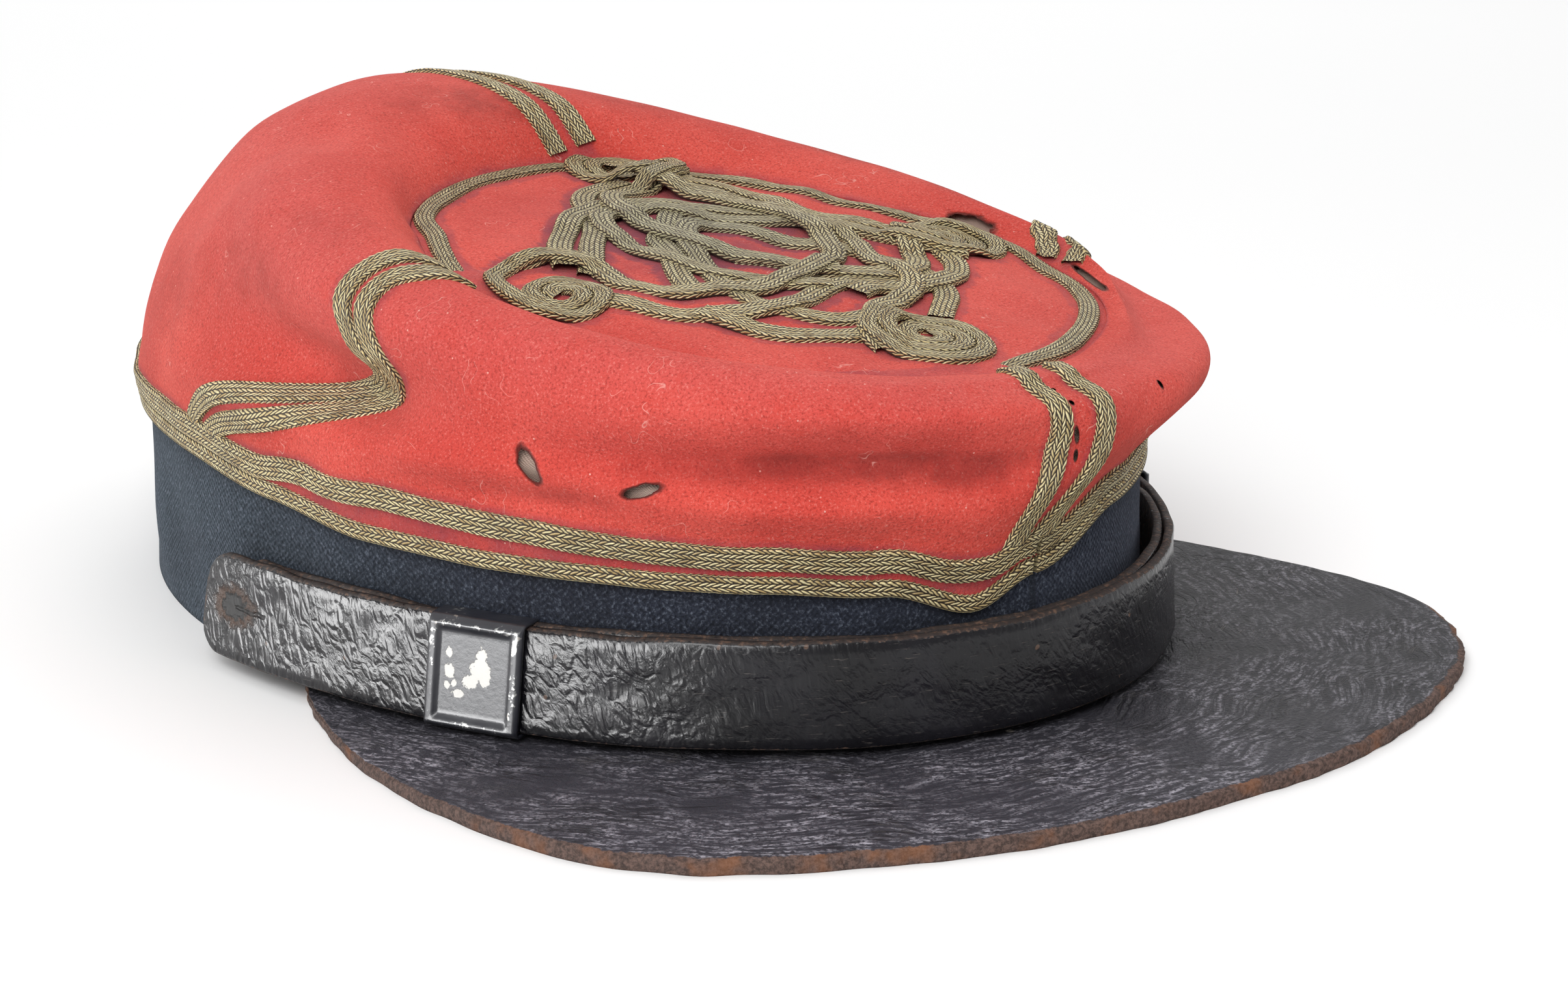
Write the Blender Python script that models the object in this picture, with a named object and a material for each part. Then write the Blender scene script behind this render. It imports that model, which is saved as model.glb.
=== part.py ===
"""Soft wool cap with a flat leather peak, front towards -Y, resting on the floor at Z = 0.

Every length is in metres.  The wearer's right is the near side (-X), the wearer's left the far side (+X).
Angles round the cap start at the front and grow through the near side, the back and the far side.
"""
import math

import bmesh
import bpy
from mathutils import Vector

MM = 0.001
CLEAR = 0.3 * MM

# Driving sizes of the cap
HALF_LENGTH = 102.4 * MM
HALF_WIDTH = 76.4 * MM
HEM_TALL = 30.0 * MM
HEM_SEAM = 2.0 * MM
CREST_TALL = 86.0 * MM
CLOTH = 2.0 * MM

# Disc of the crown
DISC_RADIUS = 60.0 * MM
DISC_CENTRE_X = 1.8 * MM
DISC_CENTRE_Y = -35.2 * MM
DISC_CENTRE_Z = 63.2 * MM
DISC_FORWARD_SLOPE = 0.137
DISC_SIDE_SLOPE = -0.049
DISC_DOME = 1.6 * MM

# Peak
PEAK_DEPTH = 47.6 * MM
PEAK_RIM_THICK = 2.6 * MM
PEAK_ROOT_THICK = 1.2 * MM

# Chin strap
STRAP_TALL = 17.0 * MM
STRAP_THICK = 1.6 * MM
STRAP_FOOT = 2.8 * MM
STRAP_LEAN = 3.0 * MM
STRAP_TURN = 95.0
STRAP_INNER_GROW = 2.6 * MM
STRAP_OUTER_GROW = 4.6 * MM
SLIDE_WIDE = 17.0 * MM
SLIDE_METAL = 0.5 * MM
SLIDE_TURN = 60.5

# Flat braid
BRAID_WIDE = 4.1 * MM
BRAID_THICK = 1.2 * MM
BRAID_LIFT = 0.6 * MM
BRAID_GAP = 1.1 * MM
PAIR_SPACING = 6.6 * MM
SPIRAL_PITCH = 4.5 * MM

# Loops round the crown from the hem to the seam of the disc.
# front and back are shares of HALF_LENGTH, near and far shares of HALF_WIDTH, the heights shares of the way from
# the hem up to CREST_TALL, and hem is how much of the hem's rise and fall the loop follows.
CROWN_LOOPS = (
    # name, front, back, near, far, z_front, z_near, z_back, z_far, hem
    ("hem", 1.008, 1.012, 1.014, 1.004, 0.0, 0.0, 0.0, 0.0, 1.0),
    ("welt", 1.030, 1.012, 1.028, 1.012, 0.124, 0.132, 0.164, 0.132, 0.7),
    ("belly", 1.065, 0.960, 1.025, 1.030, 0.275, 0.299, 0.379, 0.283, 0.3),
    ("shoulder", 1.055, 0.825, 1.000, 1.020, 0.403, 0.506, 0.666, 0.427, 0.0),
    ("crest_outer", 1.010, 0.665, 0.950, 0.960, 0.459, 0.689, 0.912, 0.514, 0.0),
    ("crest", 0.975, 0.500, 0.865, 0.880, 0.466, 0.745, 0.976, 0.546, 0.0),
    ("lip", 0.945, 0.330, 0.795, 0.835, 0.459, 0.705, 0.920, 0.546, 0.0),
)

# Height of the crown's hem round the cap, as a share of HEM_TALL
HEM_LINE = (
    # angle, height
    (0, 0.78),
    (9, 0.64),
    (20, 0.80),
    (45, 0.90),
    (75, 0.93),
    (105, 1.00),
    (180, 1.00),
    (270, 1.04),
    (320, 1.08),
    (344, 1.06),
)

# Dents and bulges of the soft crown; out and up are shares of CREST_TALL
CROWN_FOLDS = (
    # name, angle, spread, loop, loop_spread, out, up
    ("near_pinch", 88, 14, 2.65, 0.70, -0.095, -0.010),
    ("near_overhang", 86, 16, 3.8, 0.60, 0.035, -0.010),
    ("front_crease", 28, 26, 2.2, 0.45, -0.055, 0.0),
    ("front_roll", 15, 30, 3.2, 0.60, 0.020, 0.0),
    ("back_near_swell", 148, 28, 2.9, 1.0, 0.016, 0.006),
    ("back_dent", 136, 9, 4.7, 0.8, -0.012, -0.016),
    ("far_slump", 225, 28, 4.6, 1.2, -0.010, -0.034),
    ("far_front_bulge", 314, 28, 2.8, 0.9, 0.050, 0.004),
    ("far_front_tuck", 318, 26, 0.9, 0.9, -0.020, 0.0),
)

# Outline of the peak beyond the band either side of the front, as shares of PEAK_DEPTH
PEAK_LINE = (
    # angle, near, far
    (0, 0.99, 0.99),
    (10, 1.00, 1.05),
    (20, 1.05, 1.12),
    (29, 1.11, 1.18),
    (36, 1.14, 1.16),
    (41, 1.10, 1.08),
    (47, 0.95, 0.86),
    (55, 0.74, 0.54),
    (68, 0.37, 0.17),
    (80, 0.06, 0.03),
)

# Braid pairs over the crown: their angle at the seam and at four loops, and how many loops short of the seam
# they end
QUARTER_PAIRS = (
    # name, seam, crest, shoulder, belly, welt, short
    ("front", -3, -1, -3, -3, 2, 1.2),
    ("near", 92, 85, 79, 86, 98, 0.5),
    ("back", 186, 183, 182, 181, 180, 0.25),
    ("far", 276, 280, 279, 276, 274, 1.2),
)

# Coiled ends of the knot on the disc; radius is a share of DISC_RADIUS
COILS = (
    # name, angle, radius, turns, start, hand
    ("front", 358, 0.66, 1.8, 200, 1),
    ("near", 90, 0.67, 1.8, 20, -1),
    ("back", 188, 0.67, 1.8, 300, 1),
    ("far", 273, 0.67, 1.8, 90, 1),
)

# One petal of the knot, from its coil round the middle and back, as shares of DISC_RADIUS
PETAL_LINE = (
    # aside, towards the coil
    (-0.10, 0.56),
    (-0.30, 0.42),
    (-0.36, 0.16),
    (-0.24, -0.14),
    (0.00, -0.26),
    (0.24, -0.14),
    (0.36, 0.16),
    (0.30, 0.42),
    (0.10, 0.56),
)

# One outer strand of the knot, from a coil to the next one
SPAN_LINE = (
    # share of the way, radius as a share of DISC_RADIUS
    (0.06, 0.62),
    (0.30, 0.54),
    (0.50, 0.50),
    (0.70, 0.54),
    (0.94, 0.62),
)

AROUND = 56
ROWS_PER_LOOP = 2


def smooth_table(rows, angle, value_of):
    """Value at an angle from rows sorted by angle, read as a closed, smoothly joined ring."""
    angle = angle % 360.0
    count = len(rows)
    after = next((i for i, row in enumerate(rows) if row[0] > angle), count) % count
    picks = [(after + step) % count for step in (-2, -1, 0, 1)]
    stations = []
    for pick in picks:
        offset = (rows[pick][0] - angle + 180.0) % 360.0 - 180.0
        stations.append(offset)
    if stations[1] > 0.0:
        stations[1] -= 360.0
    if stations[2] < 0.0:
        stations[2] += 360.0
    share = -stations[1] / (stations[2] - stations[1])
    share = share * share * (3.0 - 2.0 * share)
    low = value_of(rows[picks[1]])
    high = value_of(rows[picks[2]])
    return low + (high - low) * share


def hem_height(angle):
    return smooth_table(HEM_LINE, angle, lambda row: row[1]) * HEM_TALL


def disc_height(x, y):
    """Height of the tilted, slightly domed disc."""
    dx = x - DISC_CENTRE_X
    dy = y - DISC_CENTRE_Y
    share = min(1.0, math.hypot(dx, dy) / DISC_RADIUS)
    plane = DISC_CENTRE_Z + DISC_FORWARD_SLOPE * dy + DISC_SIDE_SLOPE * dx
    return plane + DISC_DOME * (1.0 - share * share)


def loop_point(index, angle):
    """Point of one loop of the crown; the last loop is the seam of the disc."""
    turn = math.radians(angle)
    ahead = math.cos(turn)
    aside = math.sin(turn)
    if index >= len(CROWN_LOOPS):
        x = DISC_CENTRE_X - DISC_RADIUS * aside
        y = DISC_CENTRE_Y - DISC_RADIUS * ahead
        return Vector((x, y, disc_height(x, y)))
    _, front, back, near, far, z_front, z_near, z_back, z_far, follow = CROWN_LOOPS[index]
    x = (far - near) / 2.0 * HALF_WIDTH - (far + near) / 2.0 * HALF_WIDTH * aside
    y = (back - front) / 2.0 * HALF_LENGTH - (front + back) / 2.0 * HALF_LENGTH * ahead
    mean = (z_front + z_near + z_back + z_far) / 4.0
    oval = (z_front + z_back - z_near - z_far) / 4.0
    slope = (z_front - z_back) / 2.0 * ahead + (z_near - z_far) / 2.0 * aside
    hem_top = HEM_TALL + HEM_SEAM
    z = hem_top + (mean + slope + oval * math.cos(2.0 * turn)) * (CREST_TALL - hem_top)
    z += follow * (hem_height(angle) - HEM_TALL)
    return Vector((x, y, z))


def fold_shift(angle, loop):
    """Outward and upward shift of all folds at one spot of the crown."""
    out = 0.0
    rise = 0.0
    for _, at, spread, level, level_spread, fold_out, fold_up in CROWN_FOLDS:
        away = (angle - at + 180.0) % 360.0 - 180.0
        weight = math.exp(-((away / spread) ** 2) - ((loop - level) / level_spread) ** 2)
        out += fold_out * weight * CREST_TALL
        rise += fold_up * weight * CREST_TALL
    return out, rise


def crown_point(angle, loop):
    """Point on the outside of the crown; loop runs from 0 at the hem to the seam."""
    last = len(CROWN_LOOPS)
    loop = min(max(loop, 0.0), float(last))
    base = min(int(loop), last - 1)
    share = loop - base
    before = loop_point(max(base - 1, 0), angle)
    low = loop_point(base, angle)
    high = loop_point(base + 1, angle)
    beyond = loop_point(min(base + 2, last), angle)
    square = share * share
    cube = square * share
    point = 0.5 * (
        2.0 * low
        + (high - before) * share
        + (2.0 * before - 5.0 * low + 4.0 * high - beyond) * square
        + (3.0 * low - before - 3.0 * high + beyond) * cube
    )
    fade = min(1.0, loop / 0.8) * min(1.0, (last - loop) / 0.8)
    out, rise = fold_shift(angle, loop)
    turn = math.radians(angle)
    outward = Vector((-math.sin(turn) * HALF_LENGTH, -math.cos(turn) * HALF_WIDTH, 0.0)).normalized()
    return point + (outward * out + Vector((0.0, 0.0, rise))) * fade


def crown_normal(angle, loop):
    """Outward unit normal of the crown."""
    step = 0.02
    round_way = crown_point(angle + 0.5, loop) - crown_point(angle - 0.5, loop)
    up_way = crown_point(angle, loop + step) - crown_point(angle, loop - step)
    return up_way.cross(round_way).normalized()


def facet_point(angle, loop):
    """Point on the flat facets between the crown's rows, which trim lies on."""
    row = loop * ROWS_PER_LOOP
    base = math.floor(row)
    low = crown_point(angle, base / ROWS_PER_LOOP)
    high = crown_point(angle, (base + 1) / ROWS_PER_LOOP)
    return low + (high - low) * (row - base)


def band_point(angle, grow, z):
    """Point on the oval of the band grown outwards."""
    turn = math.radians(angle)
    spot = Vector((-HALF_WIDTH * math.sin(turn), -HALF_LENGTH * math.cos(turn), 0.0))
    outward = Vector((-HALF_LENGTH * math.sin(turn), -HALF_WIDTH * math.cos(turn), 0.0)).normalized()
    return spot + outward * grow + Vector((0.0, 0.0, z))


def clear_scene():
    for item in list(bpy.data.objects):
        bpy.data.objects.remove(item, do_unlink=True)


def make_material(name, colour, roughness, metallic=0.0):
    material = bpy.data.materials.new(name)
    material.use_nodes = True
    shader = material.node_tree.nodes["Principled BSDF"]
    shader.inputs["Base Color"].default_value = (*colour, 1.0)
    shader.inputs["Roughness"].default_value = roughness
    shader.inputs["Metallic"].default_value = metallic
    material.diffuse_color = (*colour, 1.0)
    return material


def make_object(name, points, faces, material):
    """Object from points and faces, its faces turned outwards."""
    mesh = bpy.data.meshes.new(name)
    mesh.from_pydata([tuple(point) for point in points], [], faces)
    work = bmesh.new()
    work.from_mesh(mesh)
    bmesh.ops.recalc_face_normals(work, faces=work.faces)
    bmesh.ops.triangulate(work, faces=work.faces)
    work.to_mesh(mesh)
    work.free()
    mesh.materials.append(material)
    item = bpy.data.objects.new(name, mesh)
    bpy.context.scene.collection.objects.link(item)
    return item


def ring_faces(rings, size, close_rings, close_round):
    """Quads between successive rings of points."""
    faces = []
    ring_steps = rings if close_rings else rings - 1
    round_steps = size if close_round else size - 1
    for ring in range(ring_steps):
        for spot in range(round_steps):
            a = ring * size + spot
            b = ring * size + (spot + 1) % size
            c = ((ring + 1) % rings) * size + (spot + 1) % size
            d = ((ring + 1) % rings) * size + spot
            faces.append((a, b, c, d))
    return faces


def ribbon(name, stations, wide, thick, material, closed):
    """Flat strip swept along stations of (point, normal), its underside on the points."""
    points = []
    count = len(stations)
    for index, (point, normal) in enumerate(stations):
        back = stations[index - 1][0] if closed or index > 0 else point
        ahead = stations[(index + 1) % count][0] if closed or index < count - 1 else point
        along = (ahead - back).normalized()
        side = along.cross(normal).normalized() * (wide / 2.0)
        top = normal * thick
        points += [point - side, point + side, point + side + top, point - side + top]
    faces = ring_faces(count, 4, closed, True)
    if not closed:
        faces.append((0, 1, 2, 3))
        last = (count - 1) * 4
        faces.append((last, last + 1, last + 2, last + 3))
    return make_object(name, points, faces, material)


def build_band(material):
    """Plain oval wall of dark wool."""
    points = []
    for step in range(AROUND):
        angle = 360.0 * step / AROUND
        top = hem_height(angle) + HEM_SEAM - CLEAR
        for grow, z in ((0.0, 0.0), (0.0, top), (-CLOTH, top), (-CLOTH, 0.0)):
            points.append(band_point(angle, grow, z))
    return make_object("band", points, ring_faces(AROUND, 4, True, True), material)


def build_crown_side(material):
    """Soft wall and roll of the crown, from the hem to the seam of the disc."""
    last = len(CROWN_LOOPS)
    rows = last * ROWS_PER_LOOP + 1
    points = []
    for step in range(AROUND):
        angle = 360.0 * step / AROUND
        outside = []
        inside = []
        for row in range(rows):
            loop = row / ROWS_PER_LOOP
            point = crown_point(angle, loop)
            outside.append(point)
            inside.append(point - crown_normal(angle, loop) * CLOTH)
        points += outside + inside[::-1]
    return make_object("crown_side", points, ring_faces(AROUND, rows * 2, True, True), material)


def build_crown_top(material):
    """Tilted disc that closes the crown."""
    radii = (1.0, 0.6, 0.3)
    reach = DISC_RADIUS - CLEAR
    points = []
    for step in range(AROUND):
        turn = math.radians(360.0 * step / AROUND)
        for share, drop in [(r, 0.0) for r in reversed(radii)] + [(r, CLOTH) for r in radii]:
            x = DISC_CENTRE_X - reach * share * math.sin(turn)
            y = DISC_CENTRE_Y - reach * share * math.cos(turn)
            points.append(Vector((x, y, disc_height(x, y) - drop)))
    size = len(radii) * 2
    faces = ring_faces(AROUND, size, True, False)
    top = len(points)
    middle_z = disc_height(DISC_CENTRE_X, DISC_CENTRE_Y)
    points.append(Vector((DISC_CENTRE_X, DISC_CENTRE_Y, middle_z)))
    points.append(Vector((DISC_CENTRE_X, DISC_CENTRE_Y, middle_z - CLOTH)))
    for step in range(AROUND):
        ahead = (step + 1) % AROUND
        faces.append((step * size, ahead * size, top))
        faces.append((step * size + size - 1, ahead * size + size - 1, top + 1))
    return make_object("crown_top", points, faces, material)


def peak_reach(angle):
    """Depth of the peak beyond the band at an angle either side of the front."""
    column = 1 if angle > 0.0 else 2
    angle = abs(angle)
    for low, high in zip(PEAK_LINE, PEAK_LINE[1:]):
        if angle <= high[0]:
            share = (angle - low[0]) / (high[0] - low[0])
            return (low[column] + (high[column] - low[column]) * share) * PEAK_DEPTH
    return PEAK_LINE[-1][column] * PEAK_DEPTH


def build_peak(material):
    """Flat leather crescent lying on the floor in front of the band, thinned towards its sewn root."""
    limit = PEAK_LINE[-1][0]
    steps = 48
    points = []
    for step in range(steps + 1):
        angle = -limit + 2.0 * limit * step / steps
        turn = math.radians(angle)
        way = Vector((-math.sin(turn), -math.cos(turn), 0.0))
        reach = 1.0 / math.hypot(math.sin(turn) / HALF_WIDTH, math.cos(turn) / HALF_LENGTH)
        inner = way * (reach + 2.0 * CLEAR)
        outer = way * (reach + 2.0 * CLEAR + peak_reach(angle))
        root = Vector((0.0, 0.0, PEAK_ROOT_THICK))
        share = min(1.0, peak_reach(angle) / PEAK_DEPTH)
        rim = Vector((0.0, 0.0, PEAK_ROOT_THICK + (PEAK_RIM_THICK - PEAK_ROOT_THICK) * share))
        points += [inner, outer, outer + rim, inner + root]
    faces = ring_faces(steps + 1, 4, False, True)
    last = steps * 4
    faces.append((0, 1, 2, 3))
    faces.append((last, last + 1, last + 2, last + 3))
    return make_object("peak", points, faces, material)


def strap_lean(angle):
    """How far the foot of the strap stands out beyond its top, most on the near side."""
    return STRAP_LEAN * (1.0 + math.sin(math.radians(angle))) / 2.0


def build_strap(name, start, end, grow, material):
    """Upright strap round the front of the band with clipped, rounded ends."""
    steps = 40
    points = []
    for step in range(steps + 1):
        angle = start + (end - start) * step / steps
        edge = min(step, steps - step)
        trim = (0.28, 0.08)[edge] * STRAP_TALL if edge < 2 else 0.0
        low = trim
        high = STRAP_TALL - trim
        for rise, skin in ((low, 0.0), (low, STRAP_THICK), (high, STRAP_THICK), (high, 0.0)):
            lean = strap_lean(angle) * (1.0 - rise / STRAP_TALL)
            points.append(band_point(angle, grow + skin + lean, STRAP_FOOT + rise))
    faces = ring_faces(steps + 1, 4, False, True)
    last = steps * 4
    faces.append((0, 1, 2, 3))
    faces.append((last, last + 1, last + 2, last + 3))
    return make_object(name, points, faces, material)


def build_slide(name, angle, material):
    """Flat tin sleeve that wraps both straps."""
    turn = math.radians(angle)
    deep = STRAP_OUTER_GROW + STRAP_THICK - STRAP_INNER_GROW
    middle = band_point(angle, STRAP_INNER_GROW + deep / 2.0, STRAP_FOOT + STRAP_TALL / 2.0)
    outward = Vector((-HALF_LENGTH * math.sin(turn), -HALF_WIDTH * math.cos(turn), 0.0)).normalized()
    along = Vector((-outward.y, outward.x, 0.0))
    up = Vector((0.0, 0.0, 1.0))
    points = []
    for inset in (0.0, SLIDE_METAL):
        for side in (-1.0, 1.0):
            for across, rise in ((-1, -1), (1, -1), (1, 1), (-1, 1)):
                half_deep = deep / 2.0 + SLIDE_METAL + CLEAR * 1.7 - inset
                half_tall = STRAP_TALL / 2.0 + SLIDE_METAL + CLEAR - inset
                lean = strap_lean(angle) * (0.5 - half_tall / STRAP_TALL * rise)
                points.append(
                    middle
                    + along * side * SLIDE_WIDE / 2.0
                    + outward * (across * half_deep + lean)
                    + up * rise * half_tall
                )
    faces = []
    for corner in range(4):
        ahead = (corner + 1) % 4
        faces.append((corner, ahead, 4 + ahead, 4 + corner))
        faces.append((8 + corner, 8 + ahead, 12 + ahead, 12 + corner))
        faces.append((corner, ahead, 8 + ahead, 8 + corner))
        faces.append((4 + corner, 4 + ahead, 12 + ahead, 12 + corner))
    return make_object(name, points, faces, material)


def loop_at_height(angle, z):
    """Loop position low on the crown where its outside is at a height."""
    low = 0.0
    high = 2.0
    for _ in range(24):
        middle = (low + high) / 2.0
        if crown_point(angle, middle).z < z:
            low = middle
        else:
            high = middle
    return low


def hem_braid_height(angle, upper):
    """Height of the middle of a hem braid: the pair touches at the back and parts towards the front."""
    height = hem_height(angle) + BRAID_WIDE * 0.62
    if upper:
        opening = (1.0 + math.cos(math.radians(angle - 40.0))) / 2.0
        height += BRAID_WIDE + 2.0 * CLEAR + BRAID_GAP * opening
    return height


def build_hem_braid(name, upper, material):
    stations = []
    steps = AROUND
    for step in range(steps):
        angle = 360.0 * step / steps
        loop = loop_at_height(angle, hem_braid_height(angle, upper))
        normal = crown_normal(angle, max(loop, 0.1))
        lift = BRAID_LIFT + (CLEAR if upper else 0.0)
        stations.append((facet_point(angle, loop) + normal * lift, normal))
    return ribbon(name, stations, BRAID_WIDE, BRAID_THICK, material, True)


def quarter_angle(row, loop):
    """Angle of a braid pair where it crosses a loop position."""
    seam, crest, shoulder, belly, welt = row[1:6]
    knots = ((1.0, welt), (2.0, belly), (3.0, shoulder), (5.0, crest), (7.0, seam))
    if loop <= knots[0][0]:
        return knots[0][1]
    for low, high in zip(knots, knots[1:]):
        if loop <= high[0]:
            share = (loop - low[0]) / (high[0] - low[0])
            share = share * share * (3.0 - 2.0 * share)
            return low[1] + (high[1] - low[1]) * share
    return knots[-1][1]


def sideways(angle, loop, turn_rate):
    """Shift in angle and loop that moves one metre square to a path climbing the crown."""
    round_way = (crown_point(angle + 0.5, loop) - crown_point(angle - 0.5, loop)) / 1.0
    up_way = (crown_point(angle, loop + 0.05) - crown_point(angle, loop - 0.05)) / 0.1
    stretch = round_way.dot(round_way)
    skew = round_way.dot(up_way)
    climb = up_way.dot(up_way)
    shift_angle = skew * turn_rate + climb
    shift_loop = -(stretch * turn_rate + skew)
    length = (round_way * shift_angle + up_way * shift_loop).length
    return shift_angle / length, shift_loop / length


def moves_on(stations, point):
    """Whether a point lies a fair step ahead of the last station, so that the braid never folds back."""
    if not stations:
        return True
    step = point - stations[-1][0]
    if len(stations) > 1:
        heading = (stations[-1][0] - stations[-2][0]).normalized()
        return step.dot(heading) > BRAID_WIDE / 3.0
    return step.length > BRAID_WIDE / 3.0


def build_quarter_braid(row, side, material):
    """One braid of a pair, climbing from the hem braids over the roll to the disc."""
    stations = []
    steps = 20
    start = quarter_angle(row, 1.0)
    foot = loop_at_height(start, hem_braid_height(start, True) + BRAID_WIDE / 2.0)
    top = len(CROWN_LOOPS) - row[6]
    for step in range(steps + 1):
        centre_loop = foot + (top - foot) * step / steps
        centre_angle = quarter_angle(row, centre_loop)
        turn_rate = (quarter_angle(row, centre_loop + 0.05) - quarter_angle(row, centre_loop - 0.05)) / 0.1
        shift_angle, shift_loop = sideways(centre_angle, centre_loop, turn_rate)
        angle = centre_angle + shift_angle * side * PAIR_SPACING / 2.0
        loop = centre_loop + shift_loop * side * PAIR_SPACING / 2.0
        normal = crown_normal(angle, loop)
        point = facet_point(angle, loop) + normal * (BRAID_LIFT + CLEAR)
        clear_of_hem = loop > 1.5 or point.z > hem_braid_height(angle, True) + BRAID_WIDE * 0.8
        if clear_of_hem and moves_on(stations, point):
            stations.append((point, normal))
    name = "braid_" + row[0] + ("_right" if side > 0 else "_left")
    return ribbon(name, stations, BRAID_WIDE, BRAID_THICK, material, False)


def on_disc(angle, radius, lift):
    """Point and normal over the disc at a polar spot."""
    turn = math.radians(angle)
    x = DISC_CENTRE_X - radius * math.sin(turn)
    y = DISC_CENTRE_Y - radius * math.cos(turn)
    normal = Vector((-DISC_SIDE_SLOPE, -DISC_FORWARD_SLOPE, 1.0)).normalized()
    return Vector((x, y, disc_height(x, y) + lift)), normal


def build_disc_braid(material):
    stations = [on_disc(360.0 * step / AROUND, DISC_RADIUS - 4.0 * MM, BRAID_LIFT) for step in range(AROUND)]
    return ribbon("braid_disc", stations, BRAID_WIDE, BRAID_THICK, material, True)


def coil_stations(row, lift):
    """Spiral stations of one coiled end of the knot."""
    _, angle, radius, turns, start, hand = row
    centre, _ = on_disc(angle, radius * DISC_RADIUS, 0.0)
    steps = int(turns * 13)
    stations = []
    for step in range(steps + 1):
        share = step / steps
        reach = BRAID_WIDE * 0.75 + SPIRAL_PITCH * turns * share
        turn = math.radians(start) + hand * 2.0 * math.pi * turns * share
        x = centre.x + reach * math.cos(turn)
        y = centre.y + reach * math.sin(turn)
        normal = Vector((-DISC_SIDE_SLOPE, -DISC_FORWARD_SLOPE, 1.0)).normalized()
        stations.append((Vector((x, y, disc_height(x, y) + lift)), normal))
    return stations


def smooth_path(ends, parts):
    """Points of a smooth path through its ends."""
    path = []
    count = len(ends)
    for base in range(count - 1):
        picks = [ends[min(max(base + step, 0), count - 1)] for step in (-1, 0, 1, 2)]
        for sub in range(parts):
            share = sub / parts
            path.append(
                0.5 * (
                    2.0 * picks[1]
                    + (picks[2] - picks[0]) * share
                    + (2.0 * picks[0] - 5.0 * picks[1] + 4.0 * picks[2] - picks[3]) * share ** 2
                    + (3.0 * picks[1] - picks[0] - 3.0 * picks[2] + picks[3]) * share ** 3
                )
            )
    path.append(ends[-1])
    return path


def laid_on_disc(path, lift):
    normal = Vector((-DISC_SIDE_SLOPE, -DISC_FORWARD_SLOPE, 1.0)).normalized()
    return [(Vector((p.x, p.y, disc_height(p.x, p.y) + lift)), normal) for p in path]


def petal_stations(row, lift):
    """Stations of the petal that leaves one coil and returns to it."""
    turn = math.radians(row[1])
    way = Vector((-math.sin(turn), -math.cos(turn), 0.0))
    aside = Vector((-way.y, way.x, 0.0))
    middle = Vector((DISC_CENTRE_X, DISC_CENTRE_Y, 0.0))
    ends = [middle + (aside * side + way * reach) * DISC_RADIUS for side, reach in PETAL_LINE]
    return laid_on_disc(smooth_path(ends, 2), lift)


def span_stations(row, following, lift):
    """Stations of the outer strand between two neighbouring coils."""
    sweep = (following[1] - row[1]) % 360.0
    ends = []
    for share, radius in SPAN_LINE:
        turn = math.radians(row[1] + sweep * share)
        reach = radius * DISC_RADIUS
        ends.append(Vector((DISC_CENTRE_X - reach * math.sin(turn), DISC_CENTRE_Y - reach * math.cos(turn), 0.0)))
    return laid_on_disc(smooth_path(ends, 2), lift)


def build_knot(material):
    """Strands and coiled ends joined into one flat openwork piece."""
    parts = []
    for index, row in enumerate(COILS):
        following = COILS[(index + 1) % len(COILS)]
        lift = BRAID_LIFT + 0.12 * MM * index
        petal = petal_stations(row, lift)
        span = span_stations(row, following, lift + 0.03 * MM)
        coil = coil_stations(row, lift + 0.06 * MM)
        parts.append(ribbon("petal_" + row[0], petal, BRAID_WIDE, BRAID_THICK, material, False))
        parts.append(ribbon("span_" + row[0], span, BRAID_WIDE, BRAID_THICK, material, False))
        parts.append(ribbon("coil_" + row[0], coil, BRAID_WIDE * 0.85, BRAID_THICK, material, False))
    knot = parts[0]
    knot.name = "knot"
    for other in parts[1:]:
        cut = knot.modifiers.new("join", "BOOLEAN")
        cut.operation = "UNION"
        cut.solver = "EXACT"
        cut.object = other
        bpy.context.view_layer.update()
        view = knot.evaluated_get(bpy.context.evaluated_depsgraph_get())
        joined = bpy.data.meshes.new_from_object(view)
        knot.modifiers.clear()
        knot.data = joined
        bpy.data.objects.remove(other, do_unlink=True)
    return knot


def centre_on_floor():
    """Move every piece so that the whole cap is centred over the origin and rests on Z = 0."""
    corners = []
    for item in bpy.data.objects:
        corners += [vertex.co for vertex in item.data.vertices]
    low = [min(corner[axis] for corner in corners) for axis in range(3)]
    high = [max(corner[axis] for corner in corners) for axis in range(3)]
    shift = Vector((-(low[0] + high[0]) / 2.0, -(low[1] + high[1]) / 2.0, -low[2]))
    for item in bpy.data.objects:
        for vertex in item.data.vertices:
            vertex.co += shift


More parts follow.
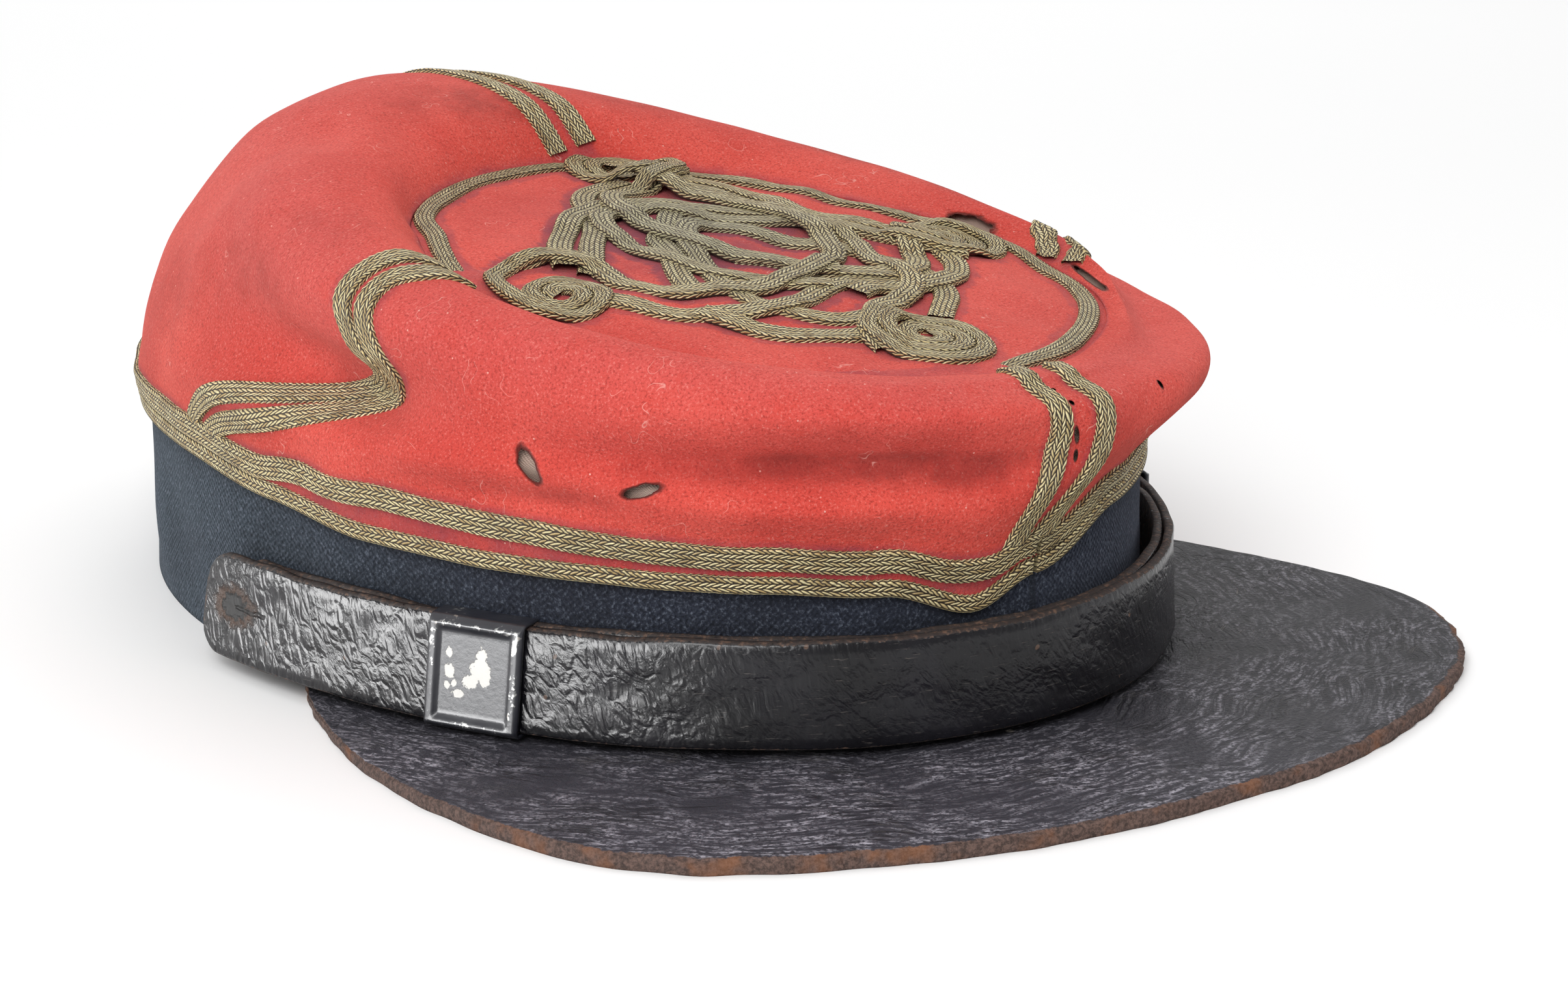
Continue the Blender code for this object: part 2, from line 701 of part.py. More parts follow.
def main():
    clear_scene()
    red = make_material("red_wool", (0.62, 0.06, 0.035), 0.9)
    blue = make_material("blue_wool", (0.022, 0.032, 0.045), 0.9)
    gilt = make_material("gilt_braid", (0.26, 0.20, 0.085), 0.55, 0.35)
    leather = make_material("black_leather", (0.018, 0.018, 0.021), 0.3)
    matte = make_material("peak_leather", (0.03, 0.03, 0.034), 0.6)
    tin = make_material("japanned_tin", (0.05, 0.05, 0.055), 0.35, 0.6)

    build_band(blue)
    build_crown_side(red)
    build_crown_top(red)
    build_peak(matte)
    build_strap("chin_strap_inner", STRAP_TURN - 4.0, 4.0 - STRAP_TURN, STRAP_INNER_GROW, leather)
    build_strap("chin_strap_outer", STRAP_TURN, -STRAP_TURN, STRAP_OUTER_GROW, leather)
    build_slide("strap_slide_near", SLIDE_TURN, tin)
    build_slide("strap_slide_far", -SLIDE_TURN, tin)
    build_hem_braid("braid_hem_lower", False, gilt)
    build_hem_braid("braid_hem_upper", True, gilt)
    for row in QUARTER_PAIRS:
        for side in (-1.0, 1.0):
            build_quarter_braid(row, side, gilt)
    build_disc_braid(gilt)
    build_knot(gilt)
    centre_on_floor()


main()
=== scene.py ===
"""Looks of a soft wool cap: cloth, braid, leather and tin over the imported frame, with floor and lights.

Lengths are in metres.  The cap's own frame has its origin on the floor under the middle of the band, the
front towards -Y, the wearer's right (the near side) towards -X and the left (the far side) towards +X.
Angles round the cap are in degrees and grow from the front through the near side, the back and the far side.
"""
import functools
import logging
import math
from collections.abc import Callable
from dataclasses import dataclass, field
from enum import Enum

import bmesh
import bpy
import numpy as np
from mathutils import Matrix, Vector

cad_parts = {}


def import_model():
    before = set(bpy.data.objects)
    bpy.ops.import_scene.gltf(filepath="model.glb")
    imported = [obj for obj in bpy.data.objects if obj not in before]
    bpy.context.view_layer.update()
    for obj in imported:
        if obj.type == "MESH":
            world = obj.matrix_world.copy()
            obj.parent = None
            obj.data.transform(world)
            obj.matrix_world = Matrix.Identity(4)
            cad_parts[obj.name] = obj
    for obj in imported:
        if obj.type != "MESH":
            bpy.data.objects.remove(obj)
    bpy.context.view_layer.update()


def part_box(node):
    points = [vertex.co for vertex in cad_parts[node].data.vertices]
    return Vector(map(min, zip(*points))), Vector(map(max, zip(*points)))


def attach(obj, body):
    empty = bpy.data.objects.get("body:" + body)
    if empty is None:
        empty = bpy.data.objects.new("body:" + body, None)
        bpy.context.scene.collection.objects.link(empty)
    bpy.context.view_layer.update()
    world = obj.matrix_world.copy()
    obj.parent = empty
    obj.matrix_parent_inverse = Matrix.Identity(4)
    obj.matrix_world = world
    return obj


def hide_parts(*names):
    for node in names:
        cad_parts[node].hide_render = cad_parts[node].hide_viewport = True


Array = np.ndarray
Material = bpy.types.Material

LOG = logging.getLogger("cap")

MM = 0.001
SEED = 11

# Driving sizes of the cap
HALF_LENGTH = 102.4 * MM
HALF_WIDTH = 76.4 * MM
HEM_TALL = 30.0 * MM
HEM_SEAM = 2.0 * MM
CREST_TALL = 86.0 * MM
CLOTH = 2.0 * MM
DISC_RADIUS = 60.0 * MM
DISC_CENTRE = (1.8 * MM, -35.2 * MM, 63.2 * MM)
DISC_FORWARD_SLOPE = 0.137
DISC_SIDE_SLOPE = -0.049
DISC_DOME = 1.6 * MM
PEAK_DEPTH = 47.6 * MM
PEAK_RIM_THICK = 2.6 * MM
PEAK_ROOT_THICK = 1.2 * MM
PEAK_CLEAR = 0.6 * MM
STRAP_TALL = 17.0 * MM
STRAP_THICK = 1.6 * MM
STRAP_FOOT = 2.8 * MM
STRAP_LEAN = 3.0 * MM
STRAP_TURN = 95.0
STRAP_INNER_GROW = 2.6 * MM
STRAP_OUTER_GROW = 4.6 * MM
SLIDE_WIDE = 17.0 * MM
SLIDE_TURN = 60.5
BRAID_WIDE = 4.1 * MM
BRAID_THICK = 0.85 * MM
STITCH = 1.15 * MM
CLOTH_RIPPLE = 0.35 * MM
SEAM_INSIDE_RIM = 0.2 * MM
SEAM_LIFT = 0.4 * MM
BUTTONHOLE = (9.0 * MM, 9.0 * MM)

# Camera of the photograph, in the cap's frame
CAMERA_AIM = (25.4 * MM, -12.7 * MM, 14.0 * MM)
CAMERA_AZIMUTH = -40.6
CAMERA_ELEVATION = 16.0
CAMERA_DISTANCE = 695.0 * MM
CAMERA_LENS = 87.9
CAMERA_SENSOR = 36.0

# Loops round the crown from the hem to the seam of the disc; front and back are shares of HALF_LENGTH, near
# and far of HALF_WIDTH, the heights of the way from the hem to CREST_TALL, hem is the share of its waves
CROWN_LOOPS = (
    # front, back, near, far, z_front, z_near, z_back, z_far, hem
    (1.008, 1.012, 1.014, 1.004, 0.0, 0.0, 0.0, 0.0, 1.0),
    (1.030, 1.012, 1.028, 1.012, 0.124, 0.132, 0.164, 0.132, 0.7),
    (1.065, 0.960, 1.025, 1.030, 0.275, 0.299, 0.379, 0.283, 0.3),
    (1.055, 0.825, 1.000, 1.020, 0.403, 0.506, 0.666, 0.427, 0.0),
    (1.010, 0.665, 0.950, 0.960, 0.459, 0.689, 0.912, 0.514, 0.0),
    (0.975, 0.500, 0.865, 0.880, 0.466, 0.745, 0.976, 0.546, 0.0),
    (0.945, 0.330, 0.795, 0.835, 0.459, 0.705, 0.920, 0.546, 0.0),
)

# Height of the crown's hem round the cap, as a share of HEM_TALL
HEM_LINE = (
    (0, 0.78), (9, 0.64), (20, 0.78), (33, 0.82), (60, 0.84), (75, 0.86), (88, 0.94),
    (105, 1.00), (180, 1.00), (270, 1.04), (320, 1.05), (344, 1.00),
)

# Distance between the middles of the two hem braids in millimetres: they part at the near side and the front
HEM_PARTING = (
    (0, 4.5), (4, 5.6), (9, 6.6), (15, 5.6), (25, 5.1), (35, 5.2), (49, 5.8),
    (58, 6.6), (66, 7.2), (74, 7.6), (82, 6.4), (91, 4.3), (180, 4.2), (340, 4.2),
)

# Dents and bulges of the crown; out and up are shares of CREST_TALL
CROWN_FOLDS = (
    # angle, spread, loop, loop_spread, out, up
    (88, 14, 2.65, 0.70, -0.095, -0.010), (86, 16, 3.8, 0.60, 0.035, -0.010),
    (28, 26, 2.2, 0.45, -0.055, 0.0), (15, 30, 3.2, 0.60, 0.020, 0.0),
    (148, 28, 2.9, 1.0, 0.016, 0.006), (136, 9, 4.7, 0.8, -0.012, -0.016),
    (225, 28, 4.6, 1.2, -0.010, -0.034), (314, 28, 2.8, 0.9, 0.050, 0.004),
    (318, 26, 0.9, 0.9, -0.020, 0.0),
)

# Outline of the peak beyond the band either side of the front, as shares of PEAK_DEPTH
PEAK_LINE = (
    # angle, near, far
    (0, 0.99, 0.99), (10, 1.00, 1.05), (20, 1.05, 1.12), (29, 1.11, 1.18), (36, 1.14, 1.16),
    (41, 1.10, 1.08), (47, 0.95, 0.86), (55, 0.74, 0.54), (68, 0.37, 0.17), (80, 0.06, 0.03),
)

# Braid pairs over the crown: stations from the hem to the disc, and how many loops before the seam they end
QUARTER_PAIRS = {
    # name: (loops before the seam, ((loop, angle, distance between the two braids in millimetres), ...))
    "front": (1.1, (
        (0.6, 3.5, 3.4), (1.0, 1.4, 5.5), (1.6, -1.0, 7.6), (2.3, -2.8, 8.8), (3.0, -2.6, 9.3),
        (3.8, -2.4, 9.4), (4.6, -2.6, 9.0), (5.4, -2.9, 8.4), (6.6, -2.9, 8.0),
    )),
    "near": (0.5, (
        (0.6, 101.5, 5.0), (1.0, 100.5, 5.2), (1.45, 97.5, 5.3), (1.75, 93, 5.2), (1.98, 87.5, 4.8),
        (2.18, 82.5, 4.5), (2.5, 79.5, 4.2), (2.9, 79.5, 4.3), (3.5, 83, 4.9), (4.4, 87, 5.5),
        (5.4, 89, 6.0), (6.6, 93, 6.4),
    )),
    "back": (0.25, (
        (0.6, 180, 6.6), (2.0, 181, 6.6), (3.0, 182, 6.6), (5.0, 183, 7.2), (6.9, 186, 6.4),
    )),
    "far": (0.2, (
        (0.6, 274, 6.0), (2.0, 276, 6.0), (3.0, 279, 6.0), (5.0, 283, 6.2), (6.9, 285, 6.2),
    )),
}

# Radius of the middle of the disc's braid ring in millimetres; outside it the roll lies over the disc
RING_LINE = (
    (0, 55.6), (30, 56.5), (100, 56.0), (120, 55.6), (134, 58.0), (150, 59.2), (160, 60.0), (176, 58.8),
    (188, 56.0), (204, 50.2), (218, 49.2), (227, 47.4), (236, 46.2), (245, 46.8), (252, 49.6),
    (268, 53.8), (286, 53.4), (300, 55.2), (327, 55.0), (345, 56.0),
)
SEAM_OUTSIDE_RING = 3.0 * MM

# How far the ring is pressed down where the roll hides it, in millimetres
RING_SINK = ((0, 1.3), (5, 2.2), (100, 1.2), (114, 0.0), (350, 0.0))

# Places where the disc sinks beside the roll: angle, spread, depth and reach from its rim
DISC_GUTTERS = (
    (58.0, 27.0, 3.2 * MM, 15.0 * MM),
    (275.0, 42.0, 1.9 * MM, 26.0 * MM),
)


class Slot(Enum):
    """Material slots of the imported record."""

    BLUE = "blue_wool"
    RED = "red_wool"
    PEAK = "peak_leather"
    LEATHER = "black_leather"
    TIN = "japanned_tin"
    BRAID = "gilt_braid"


def srgb(red: float, green: float, blue: float) -> tuple[float, float, float, float]:
    """Turns a colour as seen, 0 to 255 a channel, into the linear colour that shaders take.

    Args:
        red: Red as seen.
        green: Green as seen.
        blue: Blue as seen.

    Returns:
        The linear colour with full alpha.
    """
    shares = (red / 255.0, green / 255.0, blue / 255.0)
    linear = [((share + 0.055) / 1.055) ** 2.4 if share > 0.04 else share / 12.92 for share in shares]
    return (*linear, 1.0)


def unit(vectors: Array) -> Array:
    """Scales vectors to length one.

    Args:
        vectors: Array of shape (..., 3).

    Returns:
        The unit vectors.
    """
    return vectors / np.maximum(np.linalg.norm(vectors, axis=-1, keepdims=True), 1e-12)


def eased(share: Array) -> Array:
    """Shares from 0 to 1 that start and end softly."""
    return share * share * (3.0 - 2.0 * share)


def turned(angle: Array, at: Array | float) -> Array:
    """How far angles are turned from another, from -180 to 180 degrees."""
    return np.mod(angle - at + 180.0, 360.0) - 180.0


def bell(*ratios: Array) -> Array:
    """Weight of 1 where all ratios are 0, fading softly as they grow."""
    return np.exp(-sum(ratio ** 2 for ratio in ratios))


def run_along(points: Array) -> Array:
    """Length of a path from its first point to each of its points."""
    return np.concatenate([[0.0], np.cumsum(np.linalg.norm(np.diff(points, axis=0), axis=1))])


def spline(before: Array, low: Array, high: Array, beyond: Array,
           share: Array) -> Array:
    """Smooth curve between two places, led by the places on either side of them.

    Args:
        before: Place before the curve.
        low: Place where it starts.
        high: Place where it ends.
        beyond: Place after it.
        share: How far along it to read, from 0 to 1.

    Returns:
        The places there.
    """
    return 0.5 * (
        2.0 * low
        + (high - before) * share
        + (2.0 * before - 5.0 * low + 4.0 * high - beyond) * share ** 2
        + (3.0 * low - before - 3.0 * high + beyond) * share ** 3
    )


def ring_table(rows: tuple, angle: Array, column: int = 1) -> Array:
    """Reads a table by angle as a closed, smoothly joined ring.

    Args:
        rows: Rows sorted by their angle in degrees, which is their first value.
        angle: Angles to read at.
        column: Which value of the rows to read.

    Returns:
        The values at the angles.
    """
    stations = np.array([row[0] for row in rows], float)
    values = np.array([row[column] for row in rows], float)
    stations = np.concatenate([stations[-1:] - 360.0, stations, stations[:1] + 360.0])
    values = np.concatenate([values[-1:], values, values[:1]])
    angle = np.mod(angle, 360.0)
    index = np.clip(np.searchsorted(stations, angle, side="right") - 1, 0, len(stations) - 2)
    share = (angle - stations[index]) / (stations[index + 1] - stations[index])
    return values[index] + (values[index + 1] - values[index]) * eased(share)


@dataclass
class Ripples:
    """Smooth, seeded unevenness made of crossing waves.

    Attributes:
        longest: Longest wavelength.
        shortest: Shortest wavelength.
        count: Number of waves.
        seed: Seed of their directions and phases.
    """

    longest: float
    shortest: float
    count: int = 14
    seed: int = SEED

    def at(self, points: Array) -> Array:
        """Height of the unevenness, about -1 to 1.

        Args:
            points: Points of shape (..., 3).

        Returns:
            The heights.
        """
        rng = np.random.default_rng(self.seed)
        total = np.zeros(points.shape[:-1])
        for _ in range(self.count):
            way = unit(rng.normal(size=3))
            length = self.longest * (self.shortest / self.longest) ** rng.random()
            phase = rng.random() * 2.0 * math.pi
            total += np.sin(points @ way * (math.tau / length) + phase)
        return total / math.sqrt(self.count)


def hem_height(angle: Array) -> Array:
    """Height of the crown's hem at angles round the cap."""
    return ring_table(HEM_LINE, angle) * HEM_TALL


def strap_lean(angle: Array) -> Array:
    """How far the strap's foot stands out beyond its top at angles round the cap."""
    return STRAP_LEAN * (1.0 + np.sin(np.radians(angle))) / 2.0


def oval_outward(angle: Array) -> Array:
    """Outward unit vectors of the band's oval at angles round the cap."""
    turn = np.radians(angle)
    return unit(np.stack([-HALF_LENGTH * np.sin(turn), -HALF_WIDTH * np.cos(turn), np.zeros_like(turn)], -1))


def oval_point(angle: Array, grow: Array | float, z: Array | float) -> Array:
    """Points on the band's oval, grown outwards, at a height.

    Args:
        angle: Angles round the cap.
        grow: Distance outside the oval.
        z: Height over the floor.

    Returns:
        Points of shape (..., 3).
    """
    angle, grow, z = np.broadcast_arrays(np.asarray(angle, float), grow, z)
    turn = np.radians(angle)
    spot = np.stack([-HALF_WIDTH * np.sin(turn), -HALF_LENGTH * np.cos(turn), z], -1)
    return spot + oval_outward(angle) * grow[..., None]


class CrownForm:
    """Outer surface of the crown's wall and roll, read at an angle and a loop position.

    Attributes:
        ripples: Fine unevenness of the cloth.
        dents: Small folds beyond those of the plain solid, as rows of CROWN_FOLDS.
        last: Loop position of the disc's seam.
    """

    def __init__(self, dents: tuple) -> None:
        """Keeps the dents and the cloth's own unevenness.

        Args:
            dents: Rows of CROWN_FOLDS.
        """
        self.ripples = Ripples(34 * MM, 13 * MM)
        self.dents = dents
        self.last = len(CROWN_LOOPS)

    def loop_ring(self, index: int, angle: Array) -> Array:
        """Points of one loop; the last loop is the seam of the disc.

        Args:
            index: Number of the loop.
            angle: Angles round the cap.

        Returns:
            Points of shape (..., 3).
        """
        turn = np.radians(angle)
        ahead = np.cos(turn)
        aside = np.sin(turn)
        if index >= self.last:
            reach = ring_table(RING_LINE, angle) * MM + SEAM_OUTSIDE_RING
            reach = np.minimum(reach, DISC_RADIUS - SEAM_INSIDE_RIM)
            x = DISC_CENTRE[0] - reach * aside
            y = DISC_CENTRE[1] - reach * ahead
            return np.stack([x, y, disc_plane(x, y) + SEAM_LIFT], -1)
        front, back, near, far, z_front, z_near, z_back, z_far, follow = CROWN_LOOPS[index]
        x = (far - near) / 2.0 * HALF_WIDTH - (far + near) / 2.0 * HALF_WIDTH * aside
        y = (back - front) / 2.0 * HALF_LENGTH - (front + back) / 2.0 * HALF_LENGTH * ahead
        mean = (z_front + z_near + z_back + z_far) / 4.0
        oval = (z_front + z_back - z_near - z_far) / 4.0
        slope = (z_front - z_back) / 2.0 * ahead + (z_near - z_far) / 2.0 * aside
        hem_top = HEM_TALL + HEM_SEAM
        z = hem_top + (mean + slope + oval * np.cos(2.0 * turn)) * (CREST_TALL - hem_top)
        z = z + follow * (hem_height(angle) - HEM_TALL)
        return np.stack([x, y, z], -1)

    def point(self, angle: Array, loop: Array) -> Array:
        """Points on the outside of the crown.

        Args:
            angle: Angles round the cap.
            loop: Loop positions, 0 at the hem.

        Returns:
            Points of shape (..., 3).
        """
        angle, loop = np.broadcast_arrays(np.asarray(angle, float), np.asarray(loop, float))
        loop = np.clip(loop, 0.0, self.last)
        base = np.minimum(loop.astype(int), self.last - 1)
        share = (loop - base)[..., None]
        rings = np.stack([self.loop_ring(index, angle) for index in range(self.last + 1)])
        pick = [np.clip(base + step, 0, self.last) for step in (-1, 0, 1, 2)]
        before, low, high, beyond = [np.take_along_axis(rings, p[None, ..., None], 0)[0] for p in pick]
        spot = spline(before, low, high, beyond, share)
        out = np.zeros_like(loop)
        rise = np.zeros_like(loop)
        for at, spread, level, level_spread, fold_out, fold_up in CROWN_FOLDS + self.dents:
            weight = bell(turned(angle, at) / spread, (loop - level) / level_spread)
            out += fold_out * weight * CREST_TALL
            rise += fold_up * weight * CREST_TALL
        fade = np.minimum(1.0, loop / 0.8) * np.minimum(1.0, (self.last - loop) / 0.8)
        out += self.ripples.at(spot) * CLOTH_RIPPLE
        shift = oval_outward(angle) * out[..., None]
        shift[..., 2] += rise
        return spot + shift * fade[..., None]

    def frame(self, angle: Array, loop: Array) -> tuple[Array, ...]:
        """Point, slopes and outward normal.

        Args:
            angle: Angles round the cap.
            loop: Loop positions.

        Returns:
            The points, their change per degree, their change per loop and the unit normals.
        """
        turn = 0.4
        rise = 0.03
        inside = np.clip(loop, rise, self.last - rise)
        around = self.point(angle + turn, inside) - self.point(angle - turn, inside)
        upward = self.point(angle, inside + rise) - self.point(angle, inside - rise)
        normal = unit(np.cross(upward, around))
        return self.point(angle, loop), around / (2.0 * turn), upward / (2.0 * rise), normal

    def beside(self, angle: Array, loop: Array, shift: Array,
               moves: int = 3) -> tuple[Array, Array]:
        """Spots reached by a short walk along the surface.

        Args:
            angle: Angles round the cap.
            loop: Loop positions.
            shift: Walks of shape (..., 3), about square to the normal.
            moves: Number of moves that a walk is made of.

        Returns:
            The angles and loop positions there.
        """
        shift = shift / moves
        for _ in range(moves):
            _, around, upward, _ = self.frame(angle, loop)
            aa = np.sum(around * around, -1)
            ab = np.sum(around * upward, -1)
            bb = np.sum(upward * upward, -1)
            da = np.sum(around * shift, -1)
            db = np.sum(upward * shift, -1)
            det = np.maximum(aa * bb - ab * ab, 1e-16)
            angle = angle + (bb * da - ab * db) / det
            loop = np.clip(loop + (aa * db - ab * da) / det, 0.0, self.last)
        return angle, loop

    def nearest(self, spot: tuple[float, float, float]) -> Vector:
        """Point of the outside that is nearest to a spot.

        Args:
            spot: Place in the cap's frame.

        Returns:
            The point.
        """
        angle = np.linspace(0.0, 360.0, 720, endpoint=False)
        angle, loop = np.meshgrid(angle, np.linspace(0.3, self.last, 160))
        points = self.point(angle, loop).reshape(-1, 3)
        return Vector(points[np.argmin(np.linalg.norm(points - np.array(spot), axis=1))])

    def loop_at_height(self, angle: Array, z: Array) -> Array:
        """Loop positions low on the crown where its outside is at given heights.

        Args:
            angle: Angles round the cap.
            z: Heights over the floor.

        Returns:
            The loop positions.
        """
        low = np.zeros_like(angle)
        high = np.full_like(angle, 2.0)
        for _ in range(20):
            middle = (low + high) / 2.0
            under = self.point(angle, middle)[..., 2] < z
            low = np.where(under, middle, low)
            high = np.where(under, high, middle)
        return low


def disc_plane(x: Array, y: Array) -> Array:
    """Height of the tilted, slightly domed disc, sunk along its gutters.

    Args:
        x: Places in the cap's frame, far.
        y: Places in the cap's frame, back.

    Returns:
        The heights.
    """
    dx = x - DISC_CENTRE[0]
    dy = y - DISC_CENTRE[1]
    away = np.hypot(dx, dy)
    share = np.minimum(1.0, away / DISC_RADIUS)
    angle = np.degrees(np.arctan2(-dx, -dy))
    sunk = np.zeros_like(away)
    for at, spread, depth, reach in DISC_GUTTERS:
        inward = np.clip(1.0 - (DISC_RADIUS - away) / reach, 0.0, 1.0)
        sunk += depth * bell(turned(angle, at) / spread) * inward ** 1.3
    level = DISC_CENTRE[2] + DISC_FORWARD_SLOPE * dy + DISC_SIDE_SLOPE * dx
    return level + DISC_DOME * (1.0 - share * share) - sunk


@dataclass
class Surface:
    """Points, quads and what is known at each point.

    Attributes:
        points: Points of shape (count, 3) in the cap's frame.
        faces: Quads as point numbers.
        uv: Place of each point on its own cloth, in metres.
        values: Named numbers at each point, which materials read.
        looks: Material number of each quad.
    """

    points: Array
    faces: Array
    uv: Array
    values: dict[str, Array] = field(default_factory=dict)
    looks: Array | None = None

    def joined(self, other: "Surface") -> "Surface":
        """Both surfaces as one.

        Args:
            other: Surface of the same material with the same named numbers.

        Returns:
            The joined surface.
        """
        return Surface(
            np.concatenate([self.points, other.points]),
            np.concatenate([self.faces, other.faces + len(self.points)]),
            np.concatenate([self.uv, other.uv]),
            {name: np.concatenate([self.values[name], other.values[name]]) for name in self.values},
        )


def grid_faces(rows: int, columns: int, close_rows: bool = False, close_columns: bool = False) -> Array:
    """Quads of a grid of points stored row by row.

    Args:
        rows: Number of rows.
        columns: Points in a row.
        close_rows: Whether the last row joins the first.
        close_columns: Whether each row is a ring.

    Returns:
        Quads as point numbers.
    """
    row = np.arange(rows if close_rows else rows - 1)[:, None]
    column = np.arange(columns if close_columns else columns - 1)[None, :]
    row_next = (row + 1) % rows
    column_next = (column + 1) % columns
    quads = [row * columns + column, row * columns + column_next,
             row_next * columns + column_next, row_next * columns + column]
    return np.stack(np.broadcast_arrays(*quads), -1).reshape(-1, 4)


def grid_surface(grid: Array, faces: Array, uv: Array,
                 values: dict[str, Array]) -> Surface:
    """Surface of a grid of points.

    Args:
        grid: Points of shape (rows, columns, 3).
        faces: Quads as point numbers.
        uv: Place of each point on its own cloth.
        values: Named numbers, for all points, for each row or for each column.

    Returns:
        The surface.
    """
    spread = {name: np.broadcast_to(numbers, grid.shape[:2]).ravel() for name, numbers in values.items()}
    return Surface(grid.reshape(-1, 3), faces, uv.reshape(-1, 2), spread)


def folded_sheet(outer: Array, inner: Array, uv: Array, marks: dict[str, Array],
                 inside: float = 0.0) -> Surface:
    """Closed ring of cloth: its outside, folded over at both edges to its inside.

    Args:
        outer: Points of the outside, as stations round the cap, rows and 3.
        inner: Points of the inside behind them.
        uv: Place of each point on the cloth.
        marks: Named numbers of the outside.
        inside: Share of the numbers that the inside has too.

    Returns:
        The closed surface.
    """
    grid = np.concatenate([outer, inner[:, ::-1]], 1)
    values = {name: np.concatenate([mark, mark[:, ::-1] * inside], 1) for name, mark in marks.items()}
    faces = grid_faces(*grid.shape[:2], True, True)
    return grid_surface(grid, faces, np.concatenate([uv, uv[:, ::-1]], 1), values)


def operator(operation: str, swapped: bool = False) -> Callable:
    """Makes one of the operators of Value.

    Args:
        operation: Operation of the Math node that it adds.
        swapped: Whether the other number is the one before the sign.

    Returns:
        The method.
    """
    def method(self: "Value", *others: "Value | float") -> "Value":
        """Adds the node and gives its result."""
        parts = (*others, self) if swapped else (self, *others)
        return self.graph.math(operation, *parts)

    return method


class Value:
    """One number in a material, with arithmetic that adds Math nodes."""

    __add__ = operator("ADD")
    __radd__ = operator("ADD", swapped=True)
    __sub__ = operator("SUBTRACT")
    __rsub__ = operator("SUBTRACT", swapped=True)
    __mul__ = operator("MULTIPLY")
    __rmul__ = operator("MULTIPLY", swapped=True)
    __truediv__ = operator("DIVIDE")
    __rtruediv__ = operator("DIVIDE", swapped=True)
    __pow__ = operator("POWER")
    __mod__ = operator("FLOORED_MODULO")
    __abs__ = operator("ABSOLUTE")
    least = operator("MINIMUM")
    most = operator("MAXIMUM")
    sine = operator("SINE")
    floor = operator("FLOOR")

    def __init__(self, graph: "Graph", socket: bpy.types.NodeSocket) -> None:
        """Keeps the material's graph and the socket that gives the number."""
        self.graph = graph
        self.socket = socket

    def between(self, low: float, high: float) -> "Value":
        """Smooth step from 0 at low to 1 at high."""
        inputs = {"Value": self, "From Min": low, "From Max": high}
        return self.graph.node("ShaderNodeMapRange", inputs, interpolation_type="SMOOTHSTEP")


